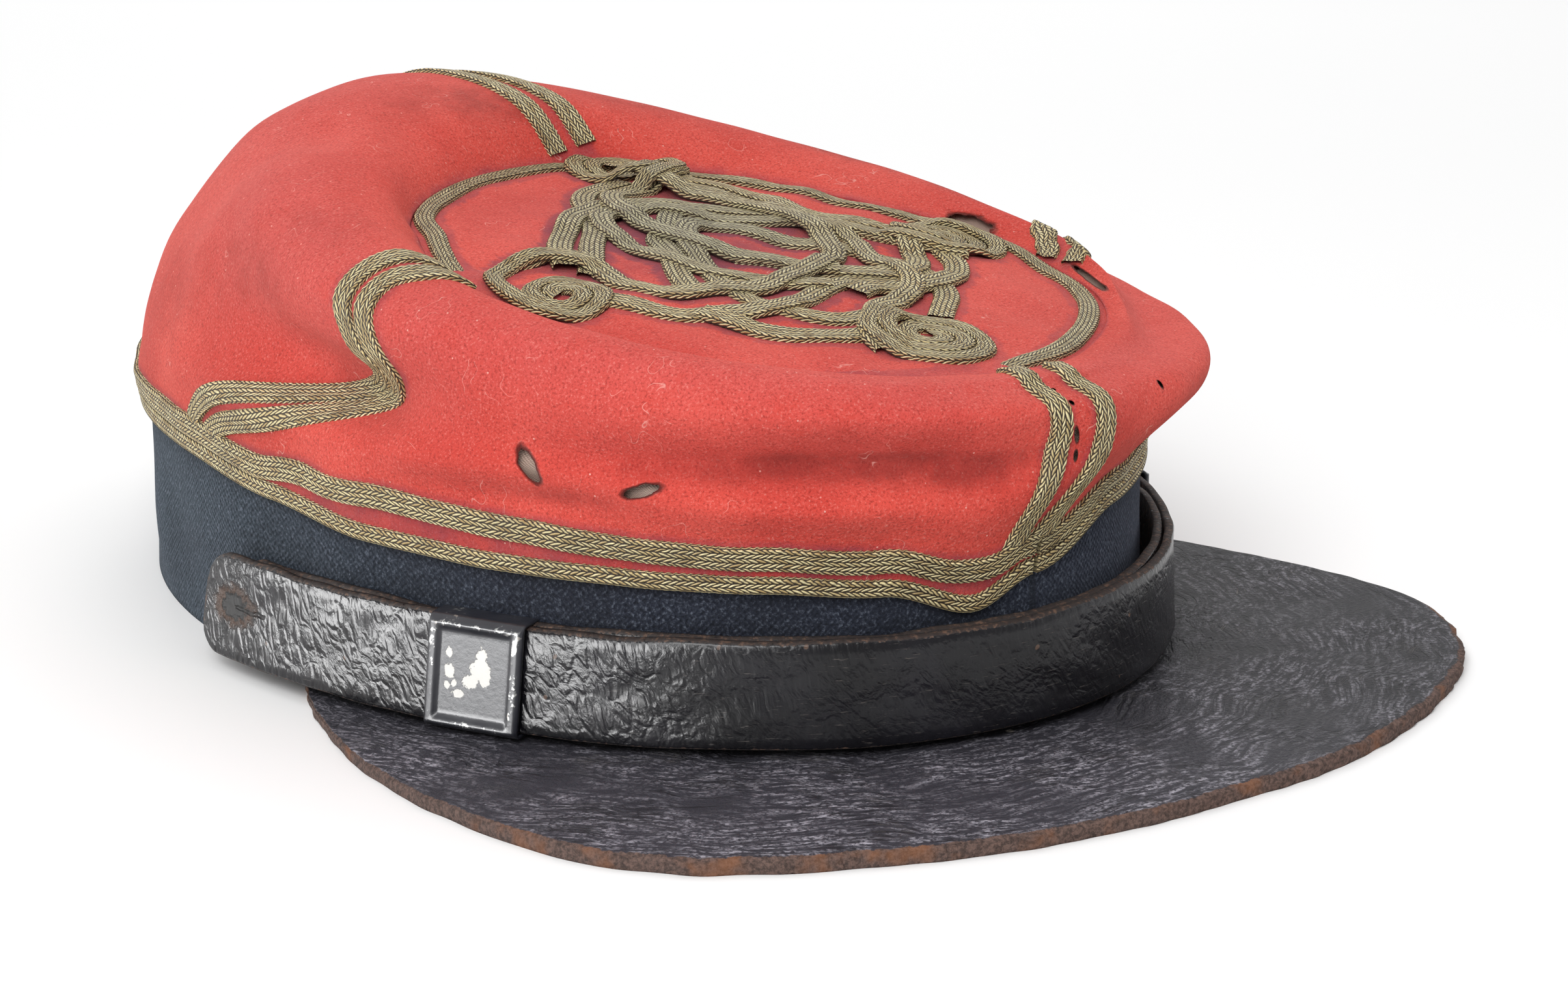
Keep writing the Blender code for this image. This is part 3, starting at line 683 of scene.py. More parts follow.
class Graph:
    """Node tree of one material, filled through a few plain methods."""

    def __init__(self, name: str) -> None:
        """Makes a material with the plain surface shader.

        Args:
            name: Name of the material.
        """
        self.material = bpy.data.materials.new(name)
        self.material.use_nodes = True
        self.tree = self.material.node_tree
        self.shader = self.tree.nodes["Principled BSDF"]

    def feed(self, socket: bpy.types.NodeSocket, value: object) -> None:
        """Links or sets one input.

        Args:
            socket: The input.
            value: What it gets, a number of the graph or a plain one.
        """
        if isinstance(value, Value):
            self.tree.links.new(value.socket, socket)
        else:
            socket.default_value = value

    def node(self, kind: str, inputs: dict, output: int | str = 0, **settings: object) -> Value:
        """Adds a node.

        Args:
            kind: Its type.
            inputs: What its inputs get, by name or number.
            output: Which output to return.
            settings: Its own options.

        Returns:
            The chosen output.
        """
        node = self.tree.nodes.new(kind)
        for name, option in settings.items():
            setattr(node, name, option)
        for key, value in inputs.items():
            self.feed(node.inputs[key], value)
        return Value(self, node.outputs[output])

    def math(self, operation: str, *parts: "Value | float") -> Value:
        """Adds a Math node."""
        return self.node("ShaderNodeMath", dict(enumerate(parts)), operation=operation)

    def vector(self, operation: str, *parts: object, output: int | str = 0) -> Value:
        """Adds a Vector Math node."""
        return self.node("ShaderNodeVectorMath", dict(enumerate(parts)), output, operation=operation)

    def place(self) -> Value:
        """Place in the cap's frame, in metres."""
        return self.node("ShaderNodeTexCoord", {}, "Object")

    def cloth_place(self) -> tuple[Value, Value]:
        """Place along and across a strip or sheet, in metres."""
        pair = self.node("ShaderNodeUVMap", {}, uv_map="cloth")
        return self.part(pair, 0), self.part(pair, 1)

    def part(self, place: Value, axis: int) -> Value:
        """One of a place's three numbers."""
        return self.node("ShaderNodeSeparateXYZ", {0: place}, axis)

    def combine(self, x: object, y: object, z: object = 0.0) -> Value:
        """A place from its three numbers."""
        return self.node("ShaderNodeCombineXYZ", {0: x, 1: y, 2: z})

    def value(self, name: str) -> Value:
        """A number stored on the mesh."""
        return self.node("ShaderNodeAttribute", {}, "Fac", attribute_name=name)

    def noise(self, place: Value, size: float, detail: float = 2.0, roughness: float = 0.5) -> Value:
        """Cloudy noise from 0 to 1 with features about one size across."""
        inputs = {"Vector": place, "Scale": 1.0 / size, "Detail": detail, "Roughness": roughness}
        return self.node("ShaderNodeTexNoise", inputs)

    def cells(self, place: Value, size: float, feature: str = "F1") -> Value:
        """Cell pattern with cells about one size across."""
        inputs = {"Vector": place, "Scale": 1.0 / size}
        return self.node("ShaderNodeTexVoronoi", inputs, "Distance", feature=feature)

    def blend(self, share: object, low: object, high: object) -> Value:
        """Colour between two colours."""
        return self.node("ShaderNodeMix", {0: share, 6: low, 7: high}, 2, data_type="RGBA")

    def layers(self, colour: object, *over: tuple) -> Value:
        """Colour with other colours laid over it in turn.

        Args:
            colour: The colour beneath.
            over: Share and colour of each layer, the topmost last.

        Returns:
            The colour on top.
        """
        for share, layer in over:
            colour = self.blend(share, colour, layer)
        return colour

    def bump(self, height: Value, depth: float, strength: float = 1.0) -> Value:
        """Normal of a surface raised by a height from 0 to 1 times a depth."""
        return self.node("ShaderNodeBump", {"Height": height, "Distance": depth, "Strength": strength})

    def finish(self, inputs: dict) -> Material | None:
        """Feeds the surface shader.

        Args:
            inputs: What its inputs get, by name.

        Returns:
            The material.
        """
        for key, value in inputs.items():
            self.feed(self.shader.inputs[key], value)
        return self.material


class Surroundings(Graph):
    """White room that is brighter behind the cap than on the camera's side."""

    def __init__(self) -> None:
        """Makes the world and its glow."""
        self.material = None
        self.world = bpy.data.worlds.new("surroundings")
        self.world.use_nodes = True
        self.tree = self.world.node_tree
        self.shader = self.tree.nodes["Background"]
        way = self.node("ShaderNodeTexCoord", {}, "Generated")
        behind = self.vector("DOT_PRODUCT", way, (0.62, 0.74, 0.25), output="Value")
        self.finish({"Color": (1.0, 1.0, 1.0, 1.0), "Strength": 0.34 + behind.between(-0.6, 0.5) * 0.64})


@dataclass(frozen=True)
class Tear:
    """A hole through the cloth.

    Attributes:
        at: Middle of the hole in the cap's frame.
        along: Direction of its long half axis.
        half_long: Long half axis.
        half_wide: Short half axis.
    """

    at: tuple[float, float, float]
    along: tuple[float, float, float]
    half_long: float
    half_wide: float


def tear_distance(graph: Graph, place: Value, tears: tuple[Tear, ...]) -> Value:
    """How far outside the nearest tear a place is: 1 on its edge, less inside it.

    Args:
        graph: Material that reads it.
        place: Place in the cap's frame.
        tears: The tears.

    Returns:
        The smallest of the tears' distances.
    """
    nearest = None
    ragged = (graph.noise(place, 2.2 * MM, 3.0) - 0.5) * 0.9
    for tear in tears:
        offset = graph.vector("SUBTRACT", place, tear.at)
        along = Vector(tear.along).normalized()
        far = graph.vector("DOT_PRODUCT", offset, tuple(along), output="Value") / tear.half_long
        whole = graph.vector("LENGTH", offset, output="Value") / tear.half_wide
        run = far * (tear.half_long / tear.half_wide)
        side = (whole * whole - run * run).most(0.0)
        distance = (far * far + side) ** 0.5 + ragged
        nearest = distance if nearest is None else nearest.least(distance)
    return nearest


@dataclass(frozen=True)
class RedWool:
    """Milled red wool: napped, dirtied in its folds and stained round the braid, both partly painted shade,
    with painted shade in the dips of its nap, and torn here and there with painted shade round the tears.
    """

    lit: tuple = srgb(228, 84, 70)
    deep: tuple = srgb(206, 63, 51)
    pink: tuple = srgb(212, 92, 88)
    shade: tuple = srgb(138, 32, 28)
    soil_and_shade: tuple = srgb(112, 38, 36)
    bleed_and_shade: tuple = srgb(112, 58, 78)
    lint: tuple = srgb(250, 196, 184)
    rim: tuple = srgb(92, 30, 24)
    sheen: tuple = srgb(255, 190, 180)
    tears: tuple[Tear, ...] = ()

    def build(self) -> Material:
        """Makes the material.

        Returns:
            The material.
        """
        graph = Graph("red_wool")
        place = graph.place()
        broad = graph.noise(place, 26 * MM, 3.0)
        cloudy = graph.noise(place, 6 * MM, 4.0, 0.62)
        nap = graph.noise(place, 0.42 * MM, 3.0, 0.7)
        tufts = graph.noise(place, 1.9 * MM, 4.0, 0.65)
        soiled_and_shaded = (graph.value("soil_and_shade") * (cloudy * 1.7 + 0.05) * (nap * 0.7 + 0.65)).between(0.05, 1.0)
        stained = (graph.value("bleed_and_shade") * (cloudy * 1.5 + 0.25) * (nap * 0.6 + 0.7)).between(0.08, 1.0)
        fibre = abs(graph.noise(place, 4.5 * MM, 1.0) - 0.5)
        strewn = graph.noise(place, 8 * MM, 1.0).between(0.63, 0.67)
        specks = graph.cells(place, 3.4 * MM)
        colour = graph.layers(
            graph.blend(broad.between(0.30, 0.70), self.deep, self.lit),
            (graph.value("faded"), self.pink),
            ((cloudy - 0.44).between(0.0, 0.30) * 0.35, self.deep),
            ((0.50 - nap).between(0.0, 0.20) * 0.62, self.shade),
            ((nap - 0.54).between(0.0, 0.18) * 0.26, self.lint),
            # Darker in the dips of the tufts: painted shade.
            ((0.47 - tufts).between(0.0, 0.2) * 0.30, self.deep),
            # Dirt in the folds, dents and under the roll: partly real dirt, partly painted shade of the
            # folds.
            (soiled_and_shaded * 0.60, self.soil_and_shade),
            # Stain in thin bands beside the braids and at the seam: partly real stain, partly painted shade
            # beside the raised braid.
            (stained * 0.85, self.bleed_and_shade),
            ((1.0 - fibre.between(0.001, 0.008)) * strewn * 0.40, self.lint),
            ((0.06 - specks).between(0.0, 0.03) * 0.6, self.lint),
        )
        height = nap * 0.45 + tufts * 0.40 + cloudy * 0.30
        inputs = {
            "Roughness": 0.94,
            "Sheen Weight": 0.16,
            "Sheen Roughness": 0.5,
            "Sheen Tint": self.sheen,
            "Specular IOR Level": 0.15,
        }
        if self.tears:
            distance = tear_distance(graph, place, self.tears)
            # Darker ring round each tear: painted shade of the torn edge.
            colour = graph.blend((1.5 - distance).between(0.0, 0.45), colour, self.rim)
            inputs["Alpha"] = distance.between(0.97, 1.03)
            height = height + distance.between(0.95, 1.5) * 0.9
        inputs["Base Color"] = colour
        inputs["Normal"] = graph.bump(height, 0.75 * MM)
        return graph.finish(inputs)


@dataclass(frozen=True)
class Lining:
    """Plain woven brown lining behind the wool."""

    light: tuple = srgb(238, 214, 196)
    dark: tuple = srgb(146, 112, 98)
    thread: float = 0.55 * MM

    def build(self) -> Material:
        """Makes the material.

        Returns:
            The material.
        """
        graph = Graph("lining")
        along, across = graph.cloth_place()
        turns = math.tau / self.thread
        weave = (along * turns).sine() * (across * turns).sine()
        broad = graph.noise(graph.place(), 6 * MM, 3.0)
        colour = graph.blend((weave * 0.5 + 0.5) * 0.6 + broad * 0.4, self.dark, self.light)
        normal = graph.bump(weave * 0.5 + 0.5, 0.15 * MM)
        return graph.finish({"Base Color": colour, "Roughness": 0.9, "Normal": normal})


@dataclass(frozen=True)
class BlueWool:
    """Dark blue wool with a worn nap over a fine weave, turning greener where it has faded."""

    blue: tuple = srgb(40, 44, 56)
    green: tuple = srgb(48, 60, 66)
    pale: tuple = srgb(118, 126, 140)
    dark: tuple = srgb(13, 15, 22)
    sheen: tuple = srgb(165, 175, 195)
    thread: float = 1.1 * MM

    def build(self) -> Material:
        """Makes the material.

        Returns:
            The material.
        """
        graph = Graph("blue_wool")
        place = graph.place()
        along, across = graph.cloth_place()
        nap = graph.noise(place, 0.6 * MM, 3.0, 0.7)
        broad = graph.noise(place, 18 * MM, 3.0)
        tufts = graph.noise(place, 2.0 * MM, 3.0, 0.6)
        turns = math.tau / self.thread
        weave = (along * turns).sine() * (across * turns).sine() * 0.5 + 0.5
        specks = graph.cells(place, 3.0 * MM)
        colour = graph.layers(
            graph.blend(graph.value("faded"), self.blue, self.green),
            # Darker where the nap dips: painted shade of the nap.
            ((0.52 - nap).between(0.0, 0.22) * 0.75, self.dark),
            ((nap - 0.50).between(0.0, 0.22) * (0.35 + weave * 0.4), self.pale),
            (broad.between(0.35, 0.7) * 0.35, self.dark),
            ((0.07 - specks).between(0.0, 0.03) * 0.6, self.pale),
        )
        height = nap * 0.45 + weave * 0.25 + tufts * 0.45
        return graph.finish({
            "Base Color": colour,
            "Roughness": 0.95,
            "Sheen Weight": 0.25,
            "Sheen Roughness": 0.5,
            "Sheen Tint": self.sheen,
            "Specular IOR Level": 0.12,
            "Normal": graph.bump(height, 0.7 * MM),
        })


@dataclass(frozen=True)
class GiltBraid:
    """Flat knitted braid of gilt thread: rows of slanted stitches, dulled to olive with paler gold stitches
    here and there, with painted shade low between the stitches and painted glints on the tops of some.
    """

    gold: tuple = srgb(250, 228, 168)
    dark: tuple = srgb(50, 36, 23)
    dull: tuple = srgb(204, 176, 120)
    glint_colour: tuple = srgb(255, 244, 196)
    grey: tuple = srgb(182, 180, 150)
    rows: int = 5
    pitch: float = STITCH
    slant: float = 0.66

    def build(self) -> Material:
        """Makes the material.

        Returns:
            The material.
        """
        graph = Graph("gilt_braid")
        place = graph.place()
        along, across = graph.cloth_place()
        row_place = across * (self.rows / BRAID_WIDE) + self.rows / 2.0
        row = row_place.floor()
        inside = row_place - row - 0.5
        lean = (row % 2.0) * 2.0 - 1.0
        wobble = (graph.noise(place, 2.4 * MM, 2.0) - 0.5) * 1.1
        phase = along / self.pitch + inside * lean * (self.slant * 2.0) + wobble + row * 0.37
        stitch = (phase * math.pi).sine() ** 2.0
        groove = 1.0 - (inside * inside) * 3.8
        height = (stitch * 0.80 + 0.20) * groove
        thread = graph.noise(graph.combine(phase * 3.0, inside * 22.0, row), 1.0, 2.0)
        fleck = graph.noise(graph.combine(phase.floor() * 7.3, row * 3.1), 1.0, 0.0)
        worn = graph.noise(place, 7 * MM, 3.0)
        toned = graph.blend(fleck.between(0.30, 0.52), self.dull, self.gold)
        # Painted glints on the raised tops of some stitches.
        stitch_glint = height.between(0.50, 0.80) * fleck.between(0.42, 0.56) * thread.between(0.32, 0.52)
        colour = graph.layers(
            # Dark low in the stitches and down the middle groove: painted shade between the stitches.
            graph.blend(height.between(0.20, 0.54), self.dark, toned),
            (graph.value("grey") * height.between(0.2, 0.6) * 0.8, self.grey),
            (stitch_glint * (1.0 - graph.value("grey") * 0.5), self.glint_colour),
            (worn.between(0.45, 0.75) * 0.22, self.dark),
        )
        raised = height * 0.85 + thread * 0.15
        return graph.finish({
            "Base Color": colour,
            "Metallic": 0.08,
            "Roughness": 0.60 - stitch_glint * 0.25,
            "Specular IOR Level": 0.4,
            "Normal": graph.bump(raised, 0.60 * MM),
        })


@dataclass(frozen=True)
class StrapLeather:
    """Black patent leather, crazed and creased with painted shade in the creases, with raw brown edges and
    one torn buttonhole drawn with painted shade in its hole and split.

    Attributes:
        hole: Place of the buttonhole along and up the strap, or None.
    """

    name: str
    hole: tuple[float, float] | None = None
    black: tuple = srgb(13, 12, 16)
    grey: tuple = srgb(40, 39, 46)
    raw: tuple = srgb(96, 72, 58)
    raw_dark: tuple = srgb(44, 34, 31)
    dust: tuple = srgb(150, 140, 132)
    split_shade: tuple = srgb(24, 16, 14)
    hole_shade: tuple = srgb(12, 9, 8)

    def build(self) -> Material:
        """Makes the material.

        Returns:
            The material.
        """
        graph = Graph(self.name)
        place = graph.place()
        along, up = graph.cloth_place()
        bend = (graph.noise(place, 9 * MM, 2.0) - 0.5) * (4 * MM)
        spot = graph.combine(along + bend, up + bend)
        slanted = graph.combine(along * 0.75 + up * 0.45 + bend, up * 0.42 - along * 0.20 + bend)
        pebble = graph.cells(slanted, 1.5 * MM, "DISTANCE_TO_EDGE").between(0.0, 0.26)
        fine = graph.noise(slanted, 0.9 * MM, 4.0, 0.7)
        crease = abs(graph.noise(slanted, 4.5 * MM, 4.0, 0.7) - 0.5)
        crease_shade = 1.0 - crease.between(0.0, 0.05)
        broad = graph.noise(spot, 16 * MM, 2.0)
        crazed = graph.value("crazed")
        scuff = graph.noise(graph.combine(along * 0.4, up * 3.0), 1.4 * MM, 4.0, 0.7)
        dry = scuff.between(0.60, 0.72) * (1.0 - crazed * 0.6)
        grit = graph.noise(place, 1.0 * MM, 4.0, 0.7)
        rough_edge = (graph.value("edge") + (grit - 0.5) * 1.6).between(0.62, 0.88)
        raw = graph.blend(grit.between(0.50, 0.66), self.raw_dark, self.raw)
        nicks = graph.cells(spot, 6.5 * MM)
        colour = graph.layers(
            graph.blend(broad.between(0.35, 0.7) * 0.35, self.black, self.grey),
            # Darker along the crease lines: painted shade in the creases.
            (crease_shade * 0.35, self.black),
            (dry * 0.25, self.dust),
            (rough_edge, raw),
            ((0.07 - nicks).between(0.0, 0.02) * 0.8, self.raw),
        )
        roughness = 0.20 + (1.0 - crazed) * 0.06 + dry * 0.25 + rough_edge * 0.5
        height = pebble * (0.06 + crazed * 0.09) + fine * (0.08 + crazed * 0.15) + crease * 0.6
        inputs = {"Specular IOR Level": 0.42}
        if self.hole is not None:
            dx = (along - self.hole[0]) / (3.3 * MM)
            dy = (up - self.hole[1]) / (1.9 * MM)
            ragged = (graph.noise(place, 1.2 * MM, 3.0) - 0.5) * 1.3
            distance = (dx * dx + dy * dy) ** 0.5 + ragged
            crack = (up - self.hole[1]) / (0.45 * MM) + (graph.noise(place, 3 * MM, 2.0) - 0.5) * 3.0
            ahead = along - self.hole[0]
            reach = ahead.between(0.0, 1.0 * MM) * (1.0 - ahead.between(6 * MM, 9 * MM))
            split = (1.0 - abs(crack).between(0.2, 1.0)) * reach
            colour = graph.layers(
                colour,
                ((2.1 - distance).between(0.0, 0.8) * 0.8, self.raw),
                # The buttonhole and its split are only colour and bump: the near-black in them is painted
                # shade of their depth.
                (split * 0.85, self.split_shade),
                ((1.25 - distance).between(0.0, 0.25), self.hole_shade),
            )
            roughness = roughness + (2.1 - distance).between(0.0, 0.8) * 0.5
            height = height + distance.between(0.7, 2.0) * 2.4 - split * 1.0
        inputs["Base Color"] = colour
        inputs["Roughness"] = roughness
        inputs["Normal"] = graph.bump(height, 0.55 * MM)
        return graph.finish(inputs)


@dataclass(frozen=True)
class PeakLeather:
    """Dull black leather of the peak with a grain drawn out in streaks, wrinkles, scratches and a raw brown
    rim; painted shade darkens its far side, the strip along the strap and its wrinkles, and its grey streaks
    are partly painted sheen.
    """

    black: tuple = srgb(58, 57, 65)
    shade_black: tuple = srgb(34, 33, 38)
    grey: tuple = srgb(188, 185, 196)
    raw: tuple = srgb(116, 94, 86)
    raw_dark: tuple = srgb(70, 58, 54)
    tan: tuple = srgb(146, 96, 64)
    crease: tuple = srgb(13, 12, 15)
    scratched: tuple = srgb(150, 142, 138)
    chipped: tuple = srgb(176, 168, 160)

    def build(self) -> Material:
        """Makes the material.

        Returns:
            The material.
        """
        graph = Graph("peak_leather")
        place = graph.place()
        along, across = graph.cloth_place()
        swirl = (graph.noise(place, 24 * MM, 2.0) - 0.5) * (13 * MM)
        streak_place = graph.combine(along * 0.30 + swirl * 0.5, across + swirl, 0.0)
        streak = graph.noise(streak_place, 1.3 * MM, 4.0, 0.72)
        wrinkle_place = graph.combine(along * 0.35 + swirl, across + swirl * 1.3)
        wrinkle = abs(graph.noise(wrinkle_place, 5.0 * MM, 3.0, 0.6) - 0.5)
        wrinkled = graph.noise(place, 15 * MM, 2.0).between(0.45, 0.6)
        wrinkle_line = (1.0 - wrinkle.between(0.0, 0.05)) * wrinkled
        grain = graph.noise(place, 0.8 * MM, 4.0, 0.72)
        broad = graph.noise(place, 22 * MM, 3.0)
        # Grey streaks on the raised grain: partly scuffed grain, partly painted sheen.
        grain_sheen_and_scuff = streak.between(0.42, 0.66) * grain.between(0.40, 0.60)
        # Painted shade: the peak is drawn darker towards the far side, and its painted sheen fainter there.
        far_side_shade = graph.part(place, 0).between(-30 * MM, 60 * MM)
        # Painted shadow of the strap, darkest against the band; wear is also kept off there.
        strap_shadow_and_shelter = 1.0 - across.between(0.0, 26 * MM)
        # Where the grey streaks show: random wear, dimmed on the far side and along the strap with the
        # painted shade.
        worn = broad.between(0.28, 0.60) * (1.0 - far_side_shade * 0.55) * (1.0 - strap_shadow_and_shelter * 0.6)
        scratch_place = graph.combine(along * 0.07 + swirl * 0.2, across * 2.2 + along * 0.5)
        scratch = graph.noise(scratch_place, 1.0 * MM, 2.0)
        scratched = graph.noise(place, 12 * MM, 2.0).between(0.56, 0.68)
        lines = (1.0 - abs(scratch - 0.5).between(0.0, 0.012)) * scratched
        ragged = (graph.noise(place, 1.6 * MM, 4.0, 0.7) - 0.5) * 1.1
        edge = (graph.value("edge") + ragged).between(0.48, 0.66)
        fibre = graph.noise(place, 0.7 * MM, 4.0, 0.7)
        raw = graph.blend(fibre.between(0.34, 0.66), self.raw_dark, self.raw)
        raw = graph.blend(graph.noise(place, 7 * MM, 3.0).between(0.52, 0.72) * 0.55, raw, self.tan)
        chips = graph.cells(place, 21 * MM)
        colour = graph.layers(
            # Painted shade towards the far side and along the strap.
            graph.blend(far_side_shade, self.black, self.shade_black),
            (strap_shadow_and_shelter * 0.7, self.shade_black),
            (grain_sheen_and_scuff * worn, self.grey),
            # Darker along the wrinkles: painted shade in them.
            (wrinkle_line * 0.5, self.crease),
            (lines * 0.6, self.scratched),
            (edge, raw),
            ((0.04 - chips).between(0.0, 0.02) * 0.8, self.chipped),
        )
        height = streak * 0.32 + grain * 0.60 - wrinkle_line * 0.25 - lines * 0.2 + broad * 0.8
        roughness = 0.50 + broad * 0.14 - streak * 0.16 + edge * 0.35
        return graph.finish({
            "Base Color": colour,
            "Roughness": roughness,
            "Specular IOR Level": 0.16,
            "Normal": graph.bump(height, 0.75 * MM),
        })


# Chips of the tin's panel in millimetres: middle along and up, half width, half height
TIN_CHIPS = (
    (1.3, 3.2, 1.0, 1.4), (1.2, 1.1, 1.9, 2.1), (2.0, 0.0, 1.1, 1.6), (-0.4, -0.9, 1.7, 1.2),
    (-4.6, 3.2, 0.6, 0.9), (-4.4, 0.2, 1.0, 1.3), (-4.7, -2.0, 0.6, 0.7), (-3.5, -1.6, 0.6, 0.7),
    (-2.6, -3.1, 1.2, 0.8),
)


@dataclass(frozen=True)
class JapannedTin:
    """Black japanned tin, rubbed to bare grey metal on its rim and chipped pale on its panel."""

    black: tuple = srgb(34, 35, 42)
    metal: tuple = srgb(168, 168, 166)
    pale: tuple = srgb(240, 238, 232)
    rust: tuple = srgb(104, 84, 66)
    dusty: tuple = srgb(70, 71, 76)

    def build(self) -> Material:
        """Makes the material.

        Returns:
            The material.
        """
        graph = Graph("japanned_tin")
        place = graph.place()
        along, up = graph.cloth_place()
        grit = graph.noise(place, 0.9 * MM, 4.0, 0.65)
        broad = graph.noise(place, 5 * MM, 3.0)
        rubbed = (graph.value("rim") * 0.8 + (grit - 0.5) * 2.0 + (broad - 0.5) * 1.6).between(0.80, 1.05)
        chip = None
        for x, y, wide, tall in TIN_CHIPS:
            dx = (along - x * MM) / (wide * MM)
            dy = (up - y * MM) / (tall * MM)
            distance = (dx * dx + dy * dy) ** 0.5
            chip = distance if chip is None else chip.least(distance)
        chipped = (1.0 - (chip + (grit - 0.5) * 1.6).between(0.85, 1.0)) * graph.value("face")
        stained = (graph.noise(place, 2.4 * MM, 3.0) - 0.56).between(0.0, 0.12) * rubbed
        colour = graph.layers(
            graph.blend(broad.between(0.3, 0.7) * 0.3, self.black, self.dusty),
            (rubbed, self.metal),
            (chipped, self.pale),
            (stained * 0.6, self.rust),
        )
        return graph.finish({
            "Base Color": colour,
            "Metallic": rubbed * 0.75,
            "Roughness": 0.30 + chipped * 0.35 + stained * 0.3 + broad * 0.1,
            "Coat Weight": (1.0 - rubbed) * (1.0 - chipped) * 0.2,
            "Coat Roughness": 0.15,
            "Normal": graph.bump(grit * 0.5 - chipped * 0.6 + broad * 0.3, 0.12 * MM, 0.8),
        })


# Soft lights: name, place, width and height, watts, and whether it shows in glossy leather alone
LIGHTS = (
    ("key", (-0.74, -0.58, 0.72), (0.6, 0.6), 8.4, False),
    ("near_side", (-1.10, 0.15, 0.21), (1.6, 0.42), 38.0, True),
    ("back", (0.7, 0.9, 0.8), (0.8, 0.8), 2.7, False),
)
LIGHT_AIM = (0.0, -0.03, 0.04)
FLOOR_REACH = 6.0


class Studio:
    """Turns surfaces into pieces of the cap, and sets the floor, lights and camera."""

    def __init__(self) -> None:
        """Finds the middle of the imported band, where the cap's frame has its origin."""
        low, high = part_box("band")
        self.origin = Vector(((low[0] + high[0]) / 2.0, (low[1] + high[1]) / 2.0, 0.0))
        self.made: list[bpy.types.Object] = []

    @staticmethod
    def added(name: str, data: bpy.types.ID) -> bpy.types.Object:
        """A new object in the scene that shows the data."""
        item = bpy.data.objects.new(name, data)
        bpy.context.scene.collection.objects.link(item)
        return item

    def piece(self, name: str, surface: Surface, materials: list, stands_for: str,
              solid: bool = True) -> None:
        """Makes one piece that rides on the cap.

        Args:
            name: Name of the piece.
            surface: Its surface in the cap's frame.
            materials: Its materials.
            stands_for: Node that it replaces.
            solid: Whether its normals can be turned outwards by themselves.
        """
        mesh = bpy.data.meshes.new(name)
        mesh.from_pydata(surface.points.tolist(), [], surface.faces.tolist())
        corners = np.empty(len(mesh.loops), int)
        mesh.loops.foreach_get("vertex_index", corners)
        layer = mesh.uv_layers.new(name="cloth")
        layer.data.foreach_set("uv", surface.uv[corners].astype(np.float32).ravel())
        for key, numbers in surface.values.items():
            mesh.attributes.new(key, "FLOAT", "POINT").data.foreach_set("value", numbers.astype(np.float32))
        for material in materials:
            mesh.materials.append(material)
        if surface.looks is not None:
            mesh.polygons.foreach_set("material_index", surface.looks.astype(np.int32))
        mesh.polygons.foreach_set("use_smooth", np.ones(len(mesh.polygons), bool))
        mesh.update()
        item = self.added(name, mesh)
        item.location = self.origin
        if solid:
            turn_outwards(mesh)
        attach(item, "root")
        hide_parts(stands_for)
        self.made.append(item)

    def floor(self) -> None:
        """Adds a wide, pale floor."""
        mesh = bpy.data.meshes.new("floor")
        corners = [(x * FLOOR_REACH, y * FLOOR_REACH, 0.0) for x, y in ((-1, -1), (1, -1), (1, 1), (-1, 1))]
        mesh.from_pydata(corners, [], [(0, 1, 2, 3)])
        graph = Graph("floor_paper")
        tone = graph.noise(graph.place(), 0.5, 2.0)
        colour = graph.blend(tone, srgb(246, 246, 246), srgb(250, 250, 250))
        inputs = {"Base Color": colour, "Roughness": 0.9, "Specular IOR Level": 0.2}
        mesh.materials.append(graph.finish(inputs))
        self.added("floor", mesh)

    def light(self, name: str, place: tuple, size: tuple, power: float, gloss_only: bool) -> None:
        """Adds one soft light that faces the cap.

        Args:
            name: Name of the light.
            place: Place in the cap's frame.
            size: Width and height.
            power: Power in watts.
            gloss_only: Whether it is a dim panel that shows in glossy leather alone.
        """
        data = bpy.data.lights.new(name, "AREA")
        data.shape = "RECTANGLE"
        data.size, data.size_y = size
        data.energy = power
        item = self.added(name, data)
        item.visible_diffuse = not gloss_only
        item.location = self.origin + Vector(place)
        aim = self.origin + Vector(LIGHT_AIM)
        item.rotation_euler = (aim - item.location).to_track_quat("-Z", "Y").to_euler()

    def lights(self) -> None:
        """Adds the studio lights and the pale surroundings, which are darker towards the camera."""
        for row in LIGHTS:
            self.light(*row)
        bpy.context.scene.world = Surroundings().world
        bpy.context.scene.view_settings.view_transform = "Standard"

    def camera(self) -> None:
        """Adds the camera at the photograph's angle."""
        azimuth = math.radians(CAMERA_AZIMUTH)
        elevation = math.radians(CAMERA_ELEVATION)
        back = Vector((
            math.sin(azimuth) * math.cos(elevation),
            -math.cos(azimuth) * math.cos(elevation),
            math.sin(elevation),
        ))
        right = Vector((math.cos(azimuth), math.sin(azimuth), 0.0))
        up = back.cross(right)
        data = bpy.data.cameras.new("camera")
        data.lens = CAMERA_LENS
        data.sensor_width = CAMERA_SENSOR
        data.sensor_fit = "HORIZONTAL"
        data.clip_start = 0.01
        item = self.added("camera", data)
        turn = Matrix((right, up, back)).transposed().to_4x4()
        place = self.origin + Vector(CAMERA_AIM) + back * CAMERA_DISTANCE
        item.matrix_world = Matrix.Translation(place) @ turn
        bpy.context.scene.camera = item


def turn_outwards(mesh: bpy.types.Mesh) -> None:
    """Turns the faces of a closed mesh outwards.

    Args:
        mesh: The mesh.
    """
    work = bmesh.new()
    work.from_mesh(mesh)
    bmesh.ops.recalc_face_normals(work, faces=work.faces)
    work.to_mesh(mesh)
    work.free()


